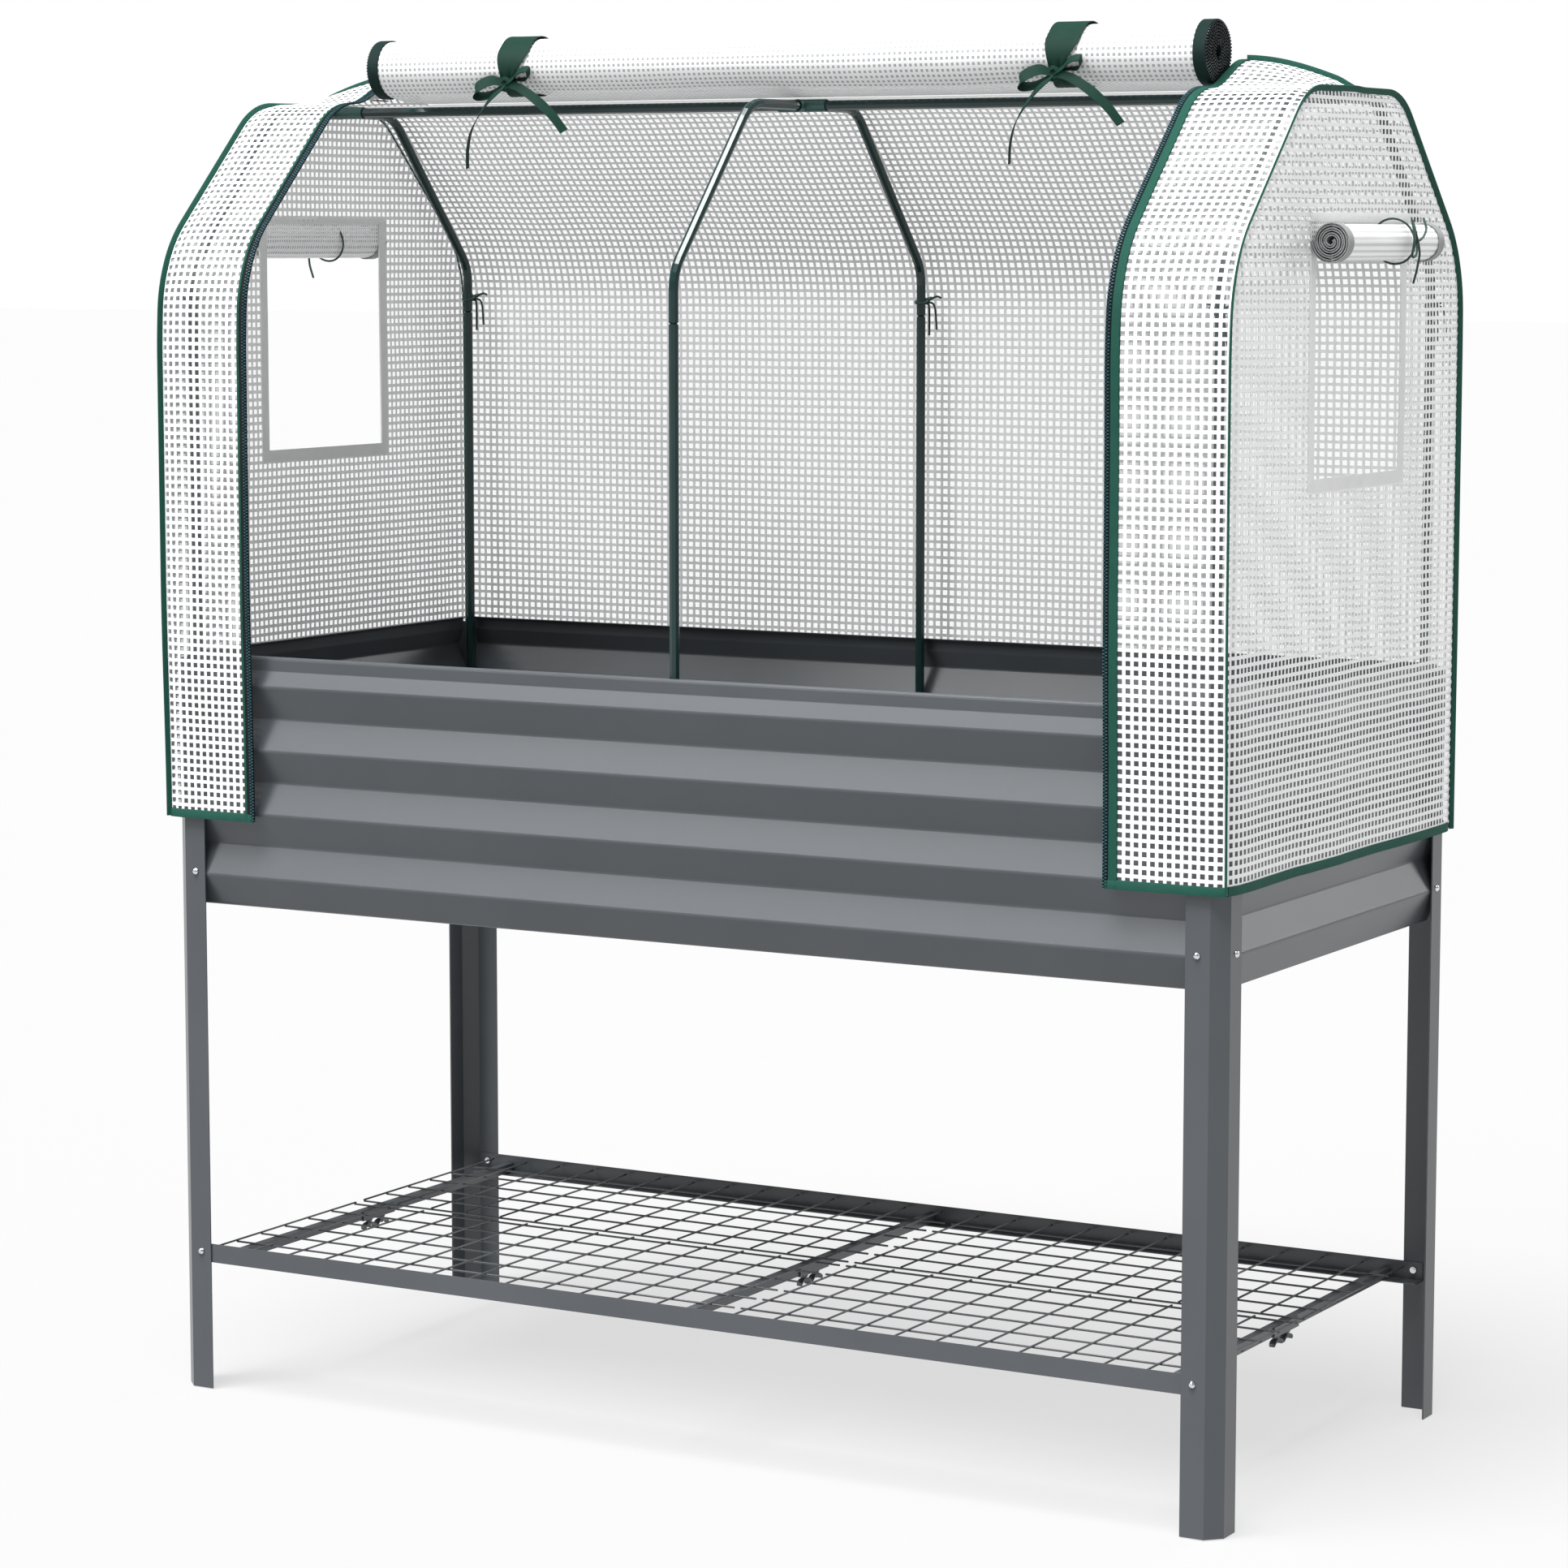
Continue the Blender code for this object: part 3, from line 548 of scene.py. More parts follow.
def to_outline(y, z):
    """The nearest point of the end sheet's edge."""
    target = Vector((abs(y), z))
    best = None
    for a, b in zip(END_OUTLINE, END_OUTLINE[1:]):
        run = b - a
        share = max(0.0, min(1.0, (target - a).dot(run) / run.length_squared))
        found = a + run * share
        away = (found - target).length
        if best is None or away < best[0]:
            best = (away, found)
    return best[0], best[1].x * (1 if y >= 0 else -1), best[1].y


def end_level(y, z, side):
    """How far out the end sheet lies: drawn in to its seam, with folds, and loose round the window."""
    from_edge = to_outline(y, z)[0]
    tuck = EDGE_TUCK * (1 - smooth(from_edge / EDGE_ROUND))
    near = math.hypot(max(abs(y - WINDOW_Y) - WINDOW_HALF, 0), max(z - WINDOW_TOP, WINDOW_BOTTOM - z, 0))
    free = smooth(from_edge / 0.05) * (0.35 + 0.65 * smooth(near / 0.05))
    return side * (COVER_HALF_LENGTH + SHEET / 2 - tuck + 1.3 * creases(z * 0.8, y * 3.0, 20.0 + side) * free)


def end_sheet(end, side):
    edges_y = [-COVER_HALF_WIDTH, WINDOW_Y - WINDOW_HALF, WINDOW_Y + WINDOW_HALF, COVER_HALF_WIDTH]
    edges_z = [COVER_HEM, WINDOW_BOTTOM, WINDOW_TOP, COVER_TOP]
    ys = sorted({round(y, 6) for a, b in zip(edges_y, edges_y[1:]) for y in between(a, b, SPACING)})
    zs = sorted({round(z, 6) for a, b in zip(edges_z, edges_z[1:]) for z in between(a, b, SPACING)})
    inside = [[abs(y) < outline_half_width(z) - EDGE_TUCK and z < COVER_TOP - EDGE_TUCK for z in zs]
              for y in ys]
    spots = {}
    verts = []
    uvs = []
    faces = []

    def corner(i, j):
        if (i, j) not in spots:
            y, z = ys[i], zs[j]
            if not inside[i][j]:
                y, z = to_outline(y, z)[1:]
            spots[i, j] = len(verts)
            verts.append(Vector((end_level(y, z, side), y, z)))
            uvs.append((y, z))
        return spots[i, j]

    for i in range(len(ys) - 1):
        for j in range(len(zs) - 1):
            middle_y = (ys[i] + ys[i + 1]) / 2
            middle_z = (zs[j] + zs[j + 1]) / 2
            if abs(middle_y - WINDOW_Y) < WINDOW_HALF and WINDOW_BOTTOM < middle_z < WINDOW_TOP:
                continue
            if not any(inside[a][b] for a in (i, i + 1) for b in (j, j + 1)):
                continue
            face = (corner(i, j), corner(i + 1, j), corner(i + 1, j + 1), corner(i, j + 1))
            faces.append(face if side > 0 else face[::-1])
    made = piece("film_end_" + end, verts, faces, END_FILM, "stand", uvs, ALL_SMOOTH)
    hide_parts("cover_end_" + end)
    return made


end_sheets = {end: end_sheet(end, side) for end, side in SIDES.items()}


# ---- window hems

def window_hem(end, side):
    """A folded white band down both sides of the window and under it, mitred at its corners."""
    build = Build()
    inner = (WINDOW_Y - WINDOW_HALF, WINDOW_BOTTOM, WINDOW_Y + WINDOW_HALF)
    loop = []
    corners = [(inner[0], WINDOW_TOP), (inner[0], inner[1]), (inner[2], inner[1]), (inner[2], WINDOW_TOP)]
    for a, b in zip(corners, corners[1:]):
        steps = max(1, round(math.dist(a, b) / SPACING))
        loop.extend((a[0] + (b[0] - a[0]) * k / steps, a[1] + (b[1] - a[1]) * k / steps)
                    for k in range(steps))
    loop.append(corners[-1])
    path = []
    axes = []
    for y, z in loop:
        level = end_level(y, z, side)
        wide_y = -1 if abs(y - inner[0]) < 1e-6 else (1 if abs(y - inner[2]) < 1e-6 else 0)
        wide_z = -1 if abs(z - inner[1]) < 1e-6 else 0
        path.append(Vector((level, y, z)))
        axes.append((Vector((0, wide_y, wide_z)), Vector((side, 0, 0))))
    half = 0.0009
    outline = [(-0.0004, -half), (WINDOW_HEM, -half * 0.9), (WINDOW_HEM, half * 0.9), (-0.0004, half)]
    carried(build, path, axes, outline)
    return build.made("window_hem_" + end, HEM_WHITE, "stand", "cover_film")


window_hems = {end: window_hem(end, side) for end, side in SIDES.items()}


# ---- green binding

def seam_path(x):
    """Points round the end seam from the front hem to the back hem, each with its outward normal."""
    found = []
    for side in (-1, 1):
        spots = SECTION[::-1] if side < 0 else SECTION[1:]
        for spot in spots:
            found.append((skin(x, spot, side), Vector((0, side * spot[2], spot[3]))))
    return found


for end, side in SIDES.items():
    build = Build()
    path = []
    axes = []
    for point, normal in seam_path(side * SEAM_X):
        out = (normal * 0.866 + Vector((side * 0.5, 0, 0))).normalized()
        path.append(point - out * 0.0008)
        axes.append((out.cross(Vector((0, -normal.z, normal.y))).normalized(), out))
    carried(build, path, axes, bar_outline(FLANGE_SHEET, FLANGE_HEIGHT))
    build.made("end_seam_" + end, GREEN_TAPE, "stand", "green_tape")

for end, side in SIDES.items():
    build = Build()
    path = [skin(side * x, SECTION[0], 1) - Vector((0, 0, RIDGE_TAPE_DROP))
            for x in between(HUMP_INNER[1], SEAM_X, 0.006)]
    carried(build, path, [(TO_BACK, UP)] * len(path), bar_outline(FLANGE_SHEET, RIDGE_TAPE_HEIGHT))
    build.made("ridge_seam_" + end, GREEN_TAPE, "stand", "green_tape")

for end, side in SIDES.items():
    build = Build()
    path = []
    for x in between(STRIP_EDGE[end] + side * 0.0020, side * SEAM_X, SPACING):
        point = skin(x, SECTION[-1], -1)
        path.append(Vector((point.x, point.y, COVER_HEM)))
    carried(build, path, [(TO_BACK, UP)] * len(path), bar_outline(HEM_SHEET, HEM_HEIGHT, HEM_LOW))
    build.made("hem_front_" + end, GREEN_TAPE, "stand", "green_tape")


def hem_round_the_back():
    """The hem's path from the front left corner round the back to the front right corner."""
    points = []
    front = skin(-SEAM_X, SECTION[-1], -1).y
    back = skin(-SEAM_X, SECTION[-1], 1).y
    for y in between(front + 0.004, back - 0.010, SPACING):
        points.append(Vector((end_level(y, COVER_HEM + 0.004, -1), y, COVER_HEM)))
    for x in between(-SEAM_X + 0.008, SEAM_X - 0.008, SPACING):
        points.append(Vector((x, skin(x, SECTION[-1], 1).y, COVER_HEM)))
    for y in between(back - 0.010, front + 0.004, SPACING):
        points.append(Vector((end_level(y, COVER_HEM + 0.004, 1), y, COVER_HEM)))
    return points


build = Build()
path = hem_round_the_back()
axes = [(along.cross(UP).normalized(), UP) for along in tangents(path)]
carried(build, path, axes, bar_outline(HEM_SHEET, HEM_HEIGHT, HEM_LOW))
back_hem = build.made("hem_back_and_ends", GREEN_TAPE, "stand", "green_tape")


# ---- zips

ZIP_BANDS = {      # from the film's inner edge outwards: the dark tape with the teeth, then the green tape
    "left": (-0.4917, -0.5005, -0.5035),
    "right": (0.4783, 0.4840, 0.4930),
}


def band_down(name, x_from, x_to, thick, coat, slot, lift=0.0):
    """A tape down the front of the cover from the ridge to the hem."""
    build = Build()
    path = []
    axes = []
    middle = (x_from + x_to) / 2
    width = abs(x_to - x_from)
    for spot in SECTION:
        normal = Vector((0, -spot[2], spot[3]))
        path.append(skin(middle, spot, -1, lift))
        axes.append((RIGHT, normal))
    half = width / 2
    lip = thick / 2
    outline = [(-half, -lip * 0.6), (-half * 0.9, -lip), (half * 0.9, -lip), (half, -lip * 0.6),
               (half, lip * 0.6), (half * 0.9, lip), (-half * 0.9, lip), (-half, lip * 0.6)]
    carried(build, path, axes, outline)
    return build.made(name, coat, "stand", slot)


def smooth_section(spacing):
    """The section's places at a finer spacing."""
    found = []
    for a, b in zip(SECTION, SECTION[1:]):
        steps = max(1, round((b[4] - a[4]) / spacing))
        for k in range(steps):
            found.append([p + (q - p) * k / steps for p, q in zip(a, b)])
    return found


for end, side in SIDES.items():
    edge, seam, outer = ZIP_BANDS[end]
    dark = band_down("zip_tape_" + end, edge, seam, 0.0016, ZIP_TAPE, "green_tape", 0.0004)
    green = band_down("zip_binding_" + end, seam, outer, 0.0022, GREEN_TAPE, "green_tape", 0.0002)
    build = Build()
    for number, spot in enumerate(smooth_section(TOOTH_PITCH / 2)):
        normal = Vector((0, -spot[2], spot[3])).normalized()
        along = RIGHT.cross(normal)
        at = skin(edge + side * (0.0012 + 0.0026 * (number % 2)), spot, -1, 0.0010)
        block(build, at, RIGHT, along, normal, (0.0023, 0.0014, 0.0022), 0.85)
    teeth = build.made("zip_teeth_" + end, TOOTH_PLASTIC, "stand", "zip_metal")


# ---- rolled door

def door_share(x):
    """The roll's radius at x as a share of its nominal one."""
    for (x0, share0), (x1, share1) in zip(DOOR_SHAPE, DOOR_SHAPE[1:]):
        if x <= x1:
            return share0 + (share1 - share0) * smooth((x - x0) / (x1 - x0))
    return DOOR_SHAPE[-1][1]


def door_place(x, turn_share, out=0.0):
    """A point of the rolled part of the door. turn_share runs from 0 at the outside to 1 at the core."""
    full = DOOR_RADIUS * door_share(x)
    angle = math.radians(-90.5) - 2 * math.pi * DOOR_TURNS * turn_share
    radius = full + (DOOR_CORE - full) * turn_share
    ripple = 0.0006 * noise.noise(Vector((x * 18.0, math.cos(angle) * 0.9, math.sin(angle) * 0.9 + 4.0)))
    radius += out + ripple * min(1.0, 3 * (1 - turn_share))
    sway = 0.0012 * noise.noise(Vector((x * 4.0, 1.7, 8.0)))
    return Vector((x, DOOR_Y + radius * math.cos(angle), DOOR_Z + sway + radius * math.sin(angle))), angle


DOOR_RUN = math.pi * (DOOR_RADIUS ** 2 - DOOR_CORE ** 2) / ((DOOR_RADIUS - DOOR_CORE) / DOOR_TURNS)
DOOR_STEPS = 300


def turn_shares():
    """Shares of the turns, at even steps along the rolled cloth."""
    outer, inner = DOOR_RADIUS, DOOR_CORE
    found = []
    for step in range(DOOR_STEPS + 1):
        done = step / DOOR_STEPS
        radius = math.sqrt(outer ** 2 - done * (outer ** 2 - inner ** 2))
        found.append((outer - radius) / (outer - inner))
    return found


def rolled_door():
    xs = between(DOOR_LOW.x + ROLL_TAPE * 0.8, DOOR_HIGH.x - ROLL_TAPE * 0.8, 0.012)
    shares = turn_shares()
    lip = 6
    verts = []
    uvs = []
    for x in xs:
        first = door_place(x, 0.0)[0]
        start = Vector((x, -0.0015, DOOR_LIP_Z))
        for k in range(lip):
            share = k / lip
            point = start.lerp(first, share)
            point.z -= 0.0010 * math.sin(math.pi * share)
            verts.append(point)
            uvs.append((x, share * (first - start).length))
        lead = (first - start).length
        for k, share in enumerate(shares):
            verts.append(door_place(x, share)[0])
            uvs.append((x, lead + DOOR_RUN * k / DOOR_STEPS))
    rows = lip + len(shares)
    faces = [(k, k + rows, k + rows + 1, k + 1) for k in grid_corners(len(xs), rows)]
    made = piece("rolled_door", verts, faces, DOOR_FILM, "door", uvs, ALL_SMOOTH)
    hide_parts("door_roll")
    return made


door = rolled_door()

for end, side in SIDES.items():
    edge = DOOR_LOW.x if side < 0 else DOOR_HIGH.x
    inner = edge - side * ROLL_TAPE
    middle = (edge + inner) / 2
    build = Build()
    path = []
    axes = []
    for share in turn_shares():
        point, angle = door_place(middle, share, 0.0004 * (1 - share))
        path.append(point)
        axes.append((RIGHT, Vector((0, math.cos(angle), math.sin(angle)))))
    half = ROLL_TAPE / 2
    carried(build, path, axes, [(-half, -0.0009), (half, -0.0009), (half, 0.0011), (-half, 0.0011)])
    build.made("door_edge_tape_" + end, ROLL_EDGE_TAPE, "door", "green_tape")
    build = Build()
    shares = turn_shares()
    for a, b in zip(shares, shares[1:]):
        point, angle = door_place(edge - side * 0.0006, (a + b) / 2)
        radial = Vector((0, math.cos(angle), math.sin(angle)))
        around = Vector((0, -math.sin(angle), math.cos(angle)))
        block(build, point, around, radial, Vector((side, 0, 0)), (0.0015, 0.0024, 0.0034), 0.85)
    build.made("door_edge_teeth_" + end, ZIP_METAL, "door", "zip_metal")


# ---- ribbons of the door

KNOT_ANGLE = math.radians(214)


def on_roll(x, angle, out):
    radius = DOOR_RADIUS * door_share(x) + out
    return Vector((x, DOOR_Y + radius * math.cos(angle), DOOR_Z + radius * math.sin(angle)))


def ribbon_band(end, at):
    """The wide band round the roll, gathered where the bow is tied."""
    build = Build()
    steps = 56
    columns = 7
    thickness = 0.0009
    layers = []
    for out in (0.0012, 0.0012 + thickness):
        grid = []
        for k in range(steps):
            angle = KNOT_ANGLE + 2 * math.pi * k / steps
            away = abs(math.remainder(angle - KNOT_ANGLE, 2 * math.pi))
            width = RIBBON_WIDTH * (0.45 + 0.55 * smooth((away - 0.10) / 1.0))
            pleat = 0.0012 * (1 - smooth(away / 0.9))
            row = []
            for c in range(columns):
                share = c / (columns - 1) - 0.5
                lift = pleat * math.cos(c * 2.4)
                row.append(on_roll(at - 0.007 * (1 - smooth(away / 1.4)) + share * width, angle, out + lift))
            grid.append(row)
        layers.append(grid)
    verts = [p for grid in layers for row in grid for p in row]
    size = steps * columns
    faces = []
    for k in range(steps):
        following = (k + 1) % steps
        for c in range(columns - 1):
            a, b = k * columns + c, following * columns + c
            faces.append((size + a, size + b, size + b + 1, size + a + 1))
            faces.append((a + 1, b + 1, b, a))
        for c, flip in ((0, False), (columns - 1, True)):
            a, b = k * columns + c, following * columns + c
            face = (a, b, size + b, size + a)
            faces.append(face[::-1] if flip else face)
    build.add(verts, faces)
    made = build.made("door_ribbon_band_" + end, RIBBON, "door", "green_tape")
    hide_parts("door_ribbon_" + end)
    return made


def ribbon_bow(end, at):
    """The knot, its two loops and its two tails."""
    build = Build()
    knot = on_roll(at - 0.010, KNOT_ANGLE, 0.0040)
    out = Vector((0, math.cos(KNOT_ANGLE), math.sin(KNOT_ANGLE)))
    down = Vector((0, 0, -1))
    lump = [knot + RIGHT * (0.0052 * math.cos(t) * 0.9) + down * (0.0052 * math.sin(t)) for t in angles(14)]
    rod(build, lump, 0.0032, 8, closed=True)

    def laid(points, widths, turn_from, turn_to):
        path = through([knot + RIGHT * a + down * b + out * c for a, b, c in points], 8)
        across = []
        breadths = []
        for k in range(len(path)):
            share = k / (len(path) - 1)
            turn = turn_from + (turn_to - turn_from) * share
            across.append(down * math.cos(turn) + out * math.sin(turn) + RIGHT * 0.15)
            spot = share * (len(widths) - 1)
            low = min(int(spot), len(widths) - 2)
            breadths.append(widths[low] + (widths[low + 1] - widths[low]) * (spot - low))
        strip(build, path, across, breadths, 0.0008)

    laid([(0, 0, 0.001), (-0.014, -0.007, 0.006), (-0.030, -0.002, 0.009), (-0.033, 0.008, 0.006),
          (-0.020, 0.010, 0.002), (0, 0.001, 0.0)], (0.005, 0.011, 0.012, 0.011, 0.009, 0.005), 0.3, 0.9)
    laid([(0, 0, 0.001), (0.012, -0.009, 0.005), (0.020, -0.017, 0.009), (0.030, -0.018, 0.007),
          (0.028, -0.007, 0.003), (0.015, -0.005, 0.002), (0, 0.0, 0.0)],
         (0.005, 0.009, 0.011, 0.011, 0.011, 0.008, 0.005), 1.2, 1.9)
    laid([(0, 0, 0.001), (-0.016, 0.012, 0.010), (-0.034, 0.036, 0.012), (-0.043, 0.060, 0.008),
          (-0.046, 0.084, 0.004)], (0.006, 0.010, 0.010, 0.008, 0.007), 1.1, 2.0)
    laid([(0, 0, 0.001), (0.022, -0.001, 0.010), (0.044, 0.010, 0.013), (0.060, 0.026, 0.010),
          (0.074, 0.046, 0.006)], (0.005, 0.009, 0.010, 0.010, 0.010), 0.2, 0.9)
    return build.made("door_ribbon_bow_" + end, RIBBON, "door", "green_tape")


for end in SIDES:
    ribbon_band(end, RIBBON_X[end])
    ribbon_bow(end, RIBBON_X[end])


# ---- rolled windows

def flap_place(side, y, turn_share, out=0.0):
    angle = math.pi + 2 * math.pi * ROLL_TURNS * turn_share
    radius = ROLL_RADIUS + (ROLL_CORE - ROLL_RADIUS) * turn_share
    radius += out + 0.0003 * noise.noise(Vector((y * 30.0, math.cos(angle), math.sin(angle) + side)))
    return Vector((side * (ROLL_X + radius * math.cos(angle)), y, ROLL_Z + radius * math.sin(angle))), angle


ROLL_RUN = math.pi * (ROLL_RADIUS ** 2 - ROLL_CORE ** 2) / ((ROLL_RADIUS - ROLL_CORE) / ROLL_TURNS)
ROLL_STEPS = 180


def window_roll(end, side):
    ys = between(ROLL_LOW.y, ROLL_HIGH.y, 0.010)
    verts = []
    uvs = []
    lip = 4
    for y in ys:
        first = flap_place(side, y, 0.0)[0]
        start = Vector((first.x, y, FLAP_SEAM_Z))
        for k in range(lip):
            verts.append(start.lerp(first, k / lip))
            uvs.append((y, -(FLAP_SEAM_Z - ROLL_Z) * (1 - k / lip)))
        for k in range(ROLL_STEPS + 1):
            verts.append(flap_place(side, y, k / ROLL_STEPS)[0])
            uvs.append((y, ROLL_RUN * k / ROLL_STEPS))
    rows = lip + ROLL_STEPS + 1
    faces = []
    for k in grid_corners(len(ys), rows):
        face = (k, k + rows, k + rows + 1, k + 1)
        faces.append(face if side > 0 else face[::-1])
    body = "window_flap_" + end
    made = piece("window_flap_film_" + end, verts, faces, FLAP_FILM, body, uvs,
                 ALL_SMOOTH)
    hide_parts("window_roll_" + end)
    hems = []
    for label, y, step in (("front", ROLL_LOW.y, 1), ("back", ROLL_HIGH.y, -1)):
        build = Build()
        for out in (-0.0010, 0.0010):
            path = []
            axes = []
            for k in range(ROLL_STEPS + 1):
                point, angle = flap_place(side, y, k / ROLL_STEPS, out)
                path.append(point)
                axes.append((Vector((0, step, 0)), Vector((side * math.cos(angle), 0, math.sin(angle)))))
            carried(build, path, axes, [(-0.0006, -0.0005), (WINDOW_HEM, -0.0005), (WINDOW_HEM, 0.0005),
                                        (-0.0006, 0.0005)])
        hems.append(build.made("window_flap_hem_%s_%s" % (end, label), FLAP_HEM, body, "cover_film"))
    build = Build()
    path = [Vector((flap_place(side, y, 0.0)[0].x, y, FLAP_SEAM_Z)) for y in ys]
    carried(build, path, [(RIGHT, UP)] * len(path), bar_outline(0.0024, 0.009, -0.0045))
    seam = build.made("window_flap_seam_" + end, HEM_WHITE, "stand", "cover_film")
    return made, hems, seam


def window_tie(end, side):
    """A string round the roll, tied in a bow on its outer side."""
    build = Build()
    knot_y = 0.046
    radius = ROLL_RADIUS + 0.0022
    loop = []
    for turn in angles(28):
        y = knot_y - 0.004 * math.sin(turn)
        loop.append(Vector((side * (ROLL_X + radius * math.cos(turn)), y, ROLL_Z + radius * math.sin(turn))))
    rod(build, loop, 0.0011, 6, closed=True)
    knot = Vector((side * (ROLL_X + radius + 0.0012), knot_y, ROLL_Z))

    def at(y, z, out=0.002):
        return knot + Vector((side * out, y, z))

    rod(build, [knot + Vector((0, 0.0022 * math.cos(t), 0.0022 * math.sin(t)))
                for t in angles(10)], 0.0019, 6, closed=True)
    rod(build, through([at(0, 0), at(-0.010, 0.014), at(-0.011, 0.020, 0.000), at(-0.014, 0.004, 0.004),
                        at(-0.014, -0.014, 0.002), at(-0.006, -0.012, 0.003), at(0, 0, 0.001)], 6), 0.0012, 6)
    for tail in (((0.008, 0.004, 0.004), (0.018, 0.012, 0.003), (0.026, 0.022, -0.003)),
                 ((0.002, -0.012, 0.003), (0.001, -0.026, 0.001), (0.002, -0.040, -0.003))):
        rod(build, through([at(0, 0)] + [at(*spot) for spot in tail], 6), 0.0012, 6)
    return build.made("window_tie_" + end, CORD_GREEN, "window_flap_" + end, "green_tape")


window_rolls = {}
for end, side in SIDES.items():
    made, hems, seam = window_roll(end, side)
    window_rolls[end] = (made, hems + [window_tie(end, side)], seam)


# ---- ties at the shoulders

def shoulder_tie(name, x, face):
    """A short tie from the cover's seam round an arch, tied in a small bow."""
    build = Build()
    side = FACES[face]
    z = JOINT_Z + 0.016
    ring = [Vector((x + 0.0062 * math.cos(t), side * POST_Y + 0.0062 * math.sin(t), z + 0.002 * math.sin(t)))
            for t in angles(16)]
    rod(build, ring, 0.0013, 6, closed=True)
    knot = Vector((x + 0.003, side * (POST_Y + 0.0076), z))
    rod(build, [knot + Vector((0.0020 * math.cos(t), 0, 0.0020 * math.sin(t)))
                for t in angles(10)], 0.0018, 6, closed=True)
    for a, b, c in ((0.016, 0.004, 0.002), (-0.012, 0.008, 0.002), (0.010, -0.030, 0.004),
                    (0.002, -0.036, 0.002)):
        bend = knot + Vector((a * 0.6, side * c * 1.5, b * 0.3 + 0.004))
        rod(build, through([knot, bend, knot + Vector((a, side * c, b))], 6), 0.0012, 6)
    wall = COVER_HALF_WIDTH - 0.001
    rod(build, through([knot, Vector((x + 0.002, side * (POST_Y + wall) / 2, z + 0.003)),
                        Vector((x, side * wall, z + 0.004))], 4), 0.0013, 6)
    return build.made(name, CORD_GREEN, "stand", "green_tape")


for face in FACES:
    for place, x in (("left", -ARCH_X), ("centre", 0.0), ("right", ARCH_X)):
        if not (face == "front" and place == "centre"):
            shoulder_tie("shoulder_tie_%s_%s" % (face, place), x, face)


# ---- shelf wires

def wire_line(build, start, end, radius):
    """A straight wire with rounded ends."""
    start, end = Vector(start), Vector(end)
    along = (end - start).normalized()
    path = [start, start + along * radius * 0.5, end - along * radius * 0.5, end]
    rod(build, path, radius, 8, scales=(0.6, 1.0, 1.0, 0.6))


WIRE_RADIUS = 0.0011
WIRE_PITCH = 0.045
LONG_WIRE_PITCH = 0.0434
LONG_WIRES = 6
CROSS_WIRES = {"left": (-0.5625, 14), "right": (0.0675, 12)}        # the first one's x, and their number
for end in SIDES:
    for face, y_side in FACES.items():
        node_name = "shelf_grid_%s_%s" % (end, face)
        low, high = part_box(node_name)
        upper = high.z - WIRE_RADIUS + 0.0002
        lower = low.z + WIRE_RADIUS + 0.0001
        build = Build()
        first, count = CROSS_WIRES[end]
        for k in range(count):
            x = first + WIRE_PITCH * k
            wire_line(build, (x, low.y, upper), (x, high.y, upper), WIRE_RADIUS)
        for k in range(LONG_WIRES):
            y = y_side * (0.0092 + LONG_WIRE_PITCH * k)
            wire_line(build, (low.x, y, lower), (high.x, y, lower), WIRE_RADIUS)
        made = build.made("shelf_wires_%s_%s" % (end, face), WIRE_COAT, "stand", "shelf_wire")
        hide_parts(node_name)


# ---- bolts and wing bolts

DOME = [(0.0, 0.0028), (0.0014, 0.0026), (0.0026, 0.0020), (0.0034, 0.0011), (0.0037, 0.0003), (0.0037, 0.0)]
LEG_FACE_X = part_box("leg_front_right")[1].x
BOLT_INSET = 0.0275
BOLT_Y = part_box("leg_back_right")[1].y - BOLT_INSET
BOX_BOLT_Z = (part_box("box_bolt_front_left")[0].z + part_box("box_bolt_front_left")[1].z) / 2
for end, side in SIDES.items():
    for face, y_side in FACES.items():
        build = Build()
        lathe(build, (side * LEG_FACE_X, y_side * BOLT_Y, BOX_BOLT_Z), (side, 0, 0), DOME)
        build.made("side_bolt_%s_%s" % (face, end), CHROME, "stand", "bright_steel")


WING_BOLT_STEM = [(0.0, 0.0030), (0.0018, 0.0028), (0.0026, 0.0016), (0.0030, 0.0), (0.0032, -0.0030),
                  (0.0042, -0.0040), (0.0042, -0.0060)]


def wing_bolt(name, x, y, top):
    """A bolt up through the joiner with two flat wings to turn it by."""
    build = Build()
    lathe(build, (x, y, top - 0.0062), (0, 0, -1), WING_BOLT_STEM, 12)
    for lean in (-1, 1):
        path = through([(x, y + lean * 0.0020, top - 0.0048), (x, y + lean * 0.0065, top - 0.0064),
                        (x, y + lean * 0.0095, top - 0.0090), (x, y + lean * 0.0100, top - 0.0112)], 4)
        widths = [0.0050 + 0.0020 * math.sin(math.pi * k / (len(path) - 1)) for k in range(len(path))]
        strip(build, path, [RIGHT] * len(path), widths, 0.0014)
    return build.made(name, SLATE, "stand", "slate_steel")


for place_name in ("left", "centre", "right"):
    low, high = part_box("shelf_joiner_" + place_name)
    middle = (low.x + high.x) / 2
    for label, y in (("front", low.y + 0.018), ("back", high.y - 0.018)):
        wing_bolt("wing_bolt_%s_%s" % (place_name, label), middle, y, low.z)


# ---- coats on the CAD pieces

def coat_for(name):
    kinds = (("zip_pull", ZIP_METAL), ("ridge_connector", SLEEVE_GREEN), ("arch_top", TUBE_GREEN),
             ("post_", TUBE_GREEN), ("ridge_beam", TUBE_GREEN), ("floor_", DARK_STEEL), ("box_bolt", CHROME),
             ("shelf_bolt", CHROME))
    for start, coat in kinds:
        if name.startswith(start):
            return coat
    return SLATE


for name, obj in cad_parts.items():
    if not obj.hide_render:
        obj.data.materials.clear()
        obj.data.materials.append(coat_for(name))


# ---- the window rolls' parts, unpacked again; nothing more is done with them

for end in SIDES:
    flap, parts, seam = window_rolls[end]


# ---- stage, light and camera

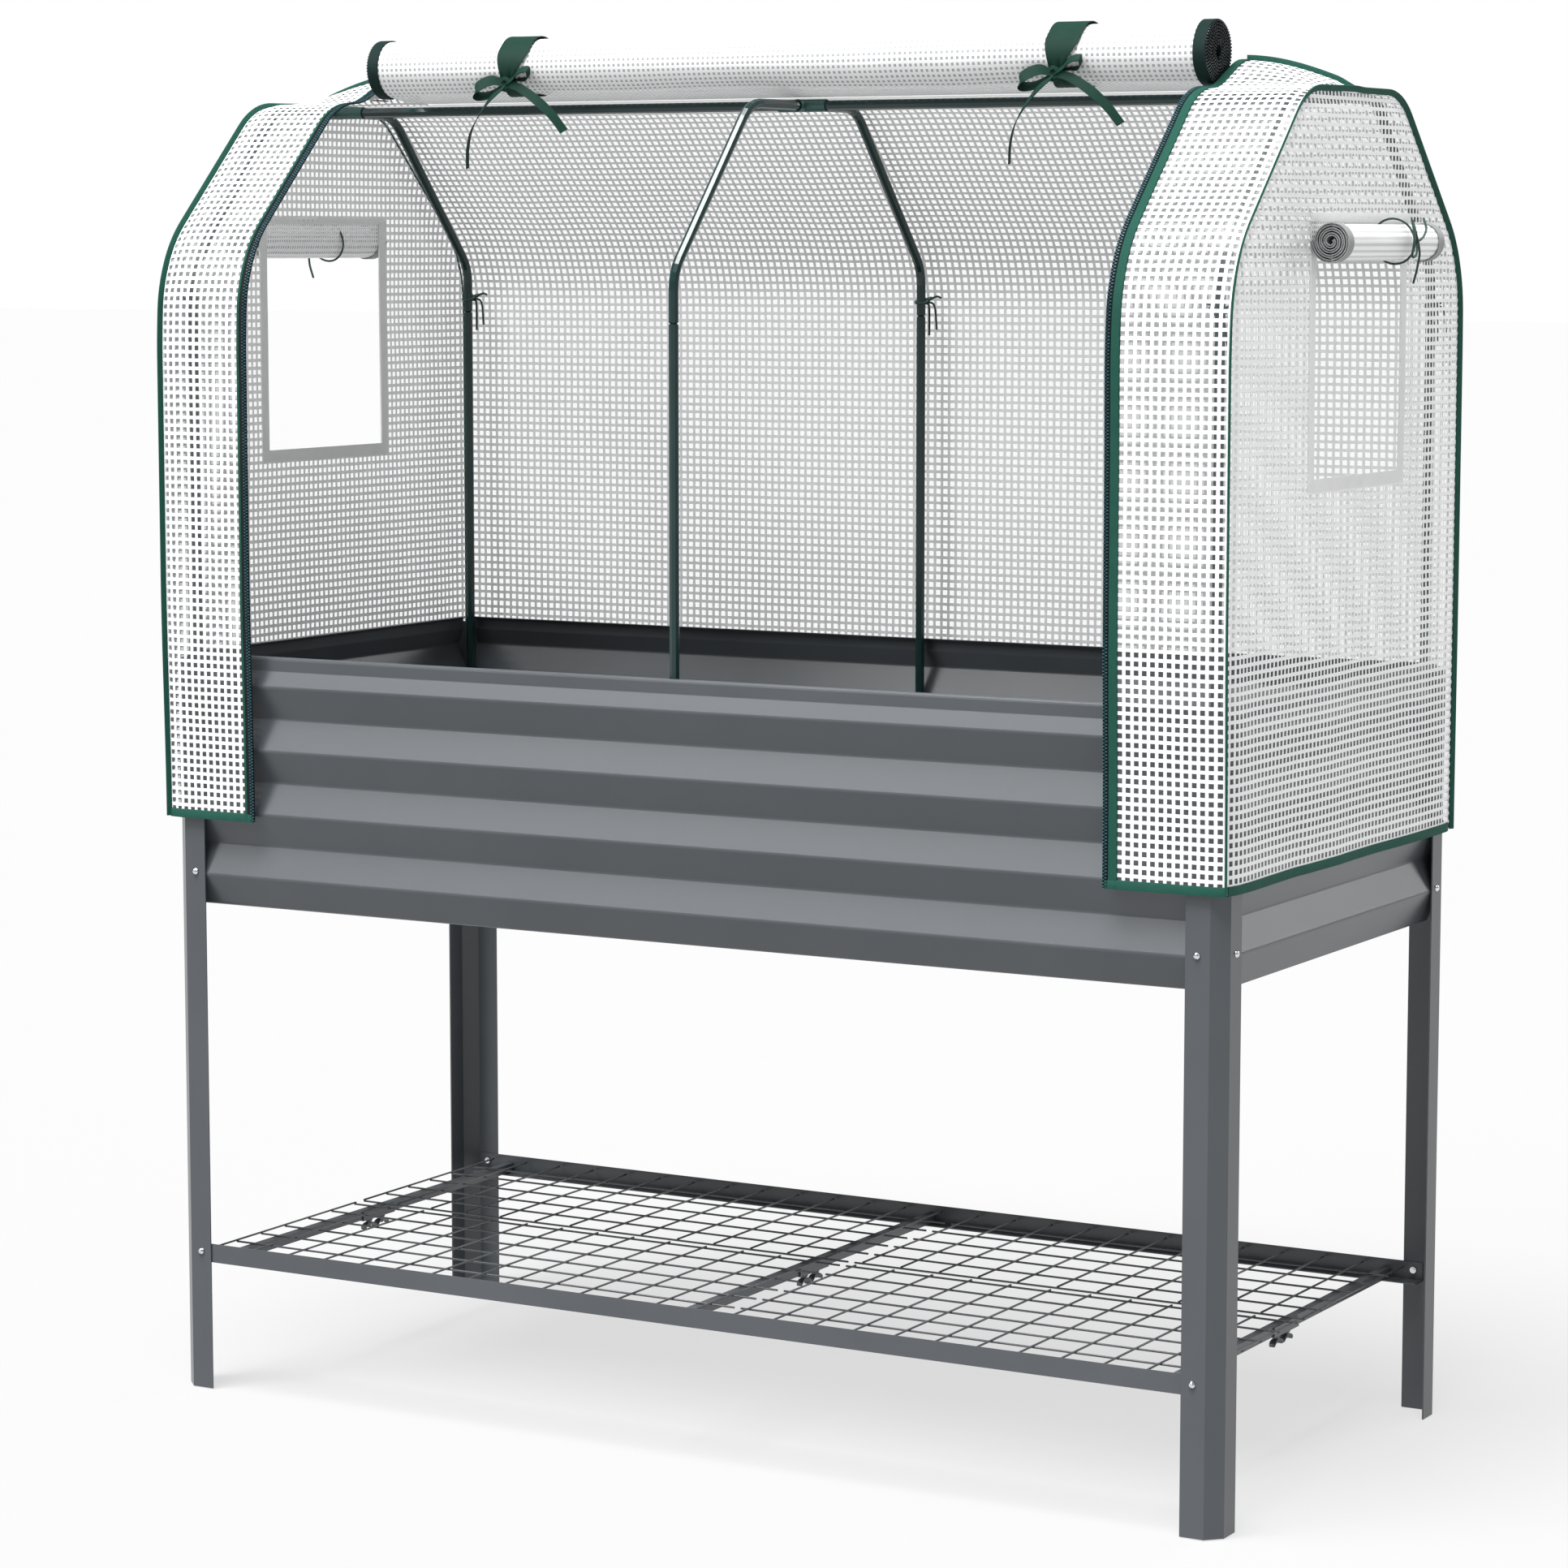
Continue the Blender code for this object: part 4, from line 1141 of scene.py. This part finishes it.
def stage_floor():
    mesh = bpy.data.meshes.new("studio_floor")
    reach = 60.0
    mesh.from_pydata([(-reach, -reach, -0.001), (reach, -reach, -0.001), (reach, reach, -0.001),
                      (-reach, reach, -0.001)], [], [(0, 1, 2, 3)])
    made, _, shader = new_material("studio_floor_white")
    shader.inputs["Base Color"].default_value = (0.12, 0.12, 0.12, 1.0)
    shader.inputs["Roughness"].default_value = 0.9
    shader.inputs["Specular IOR Level"].default_value = 0.0
    shader.inputs["Emission Color"].default_value = (1.0, 1.0, 1.0, 1.0)
    shader.inputs["Emission Strength"].default_value = 0.66
    mesh.materials.append(made)
    obj = bpy.data.objects.new("studio_floor", mesh)
    bpy.context.scene.collection.objects.link(obj)


def sun_light(name, azimuth, elevation, spread, strength):
    """Soft light from a direction: azimuth from the front towards the right, both angles in degrees."""
    light = bpy.data.lights.new(name, "SUN")
    light.angle = math.radians(spread)
    light.energy = strength
    obj = bpy.data.objects.new(name, light)
    turn, rise = math.radians(azimuth), math.radians(elevation)
    towards = Vector((math.sin(turn) * math.cos(rise), -math.cos(turn) * math.cos(rise), math.sin(rise)))
    obj.rotation_euler = towards.to_track_quat("Z", "Y").to_euler()
    bpy.context.scene.collection.objects.link(obj)


def white_studio(behind, around):
    """A backdrop of one brightness that lights the object with another."""
    world = bpy.data.worlds.new("studio_white")
    world.use_nodes = True
    tree = world.node_tree
    seen = node(tree, "ShaderNodeLightPath").outputs["Is Camera Ray"]
    strength = node(tree, "ShaderNodeMapRange", None, Value=seen, i3=around, i4=behind)
    tree.links.new(strength.outputs["Result"], tree.nodes["Background"].inputs["Strength"])
    tree.nodes["Background"].inputs["Color"].default_value = (1.0, 1.0, 1.0, 1.0)
    bpy.context.scene.world = world


stage_floor()
white_studio(1.0, 0.22)
bpy.context.scene.view_settings.view_transform = "Standard"
sun_light("key_overhead", -12.0, 72.0, 34.0, 7.0)
sun_light("gloss_left", -36.0, 36.0, 26.0, 1.0)
sun_light("gloss_back_right", 152.0, 20.0, 26.0, 0.85)
sun_light("fill_right", 75.0, 35.0, 50.0, 0.28)

CAMERA_AT = Vector((2.29455, -4.06850, 1.20605))
CAMERA_AZIMUTH = math.radians(29.6628)
CAMERA_PITCH = math.radians(6.8082)
CAMERA_LENS = 104.569
camera_data = bpy.data.cameras.new("camera")
camera_data.sensor_width = 36.0
camera_data.lens = CAMERA_LENS
camera = bpy.data.objects.new("camera", camera_data)
camera.location = CAMERA_AT
camera.rotation_euler = (math.pi / 2 - CAMERA_PITCH, 0.0, CAMERA_AZIMUTH)
bpy.context.scene.collection.objects.link(camera)
bpy.context.scene.camera = camera
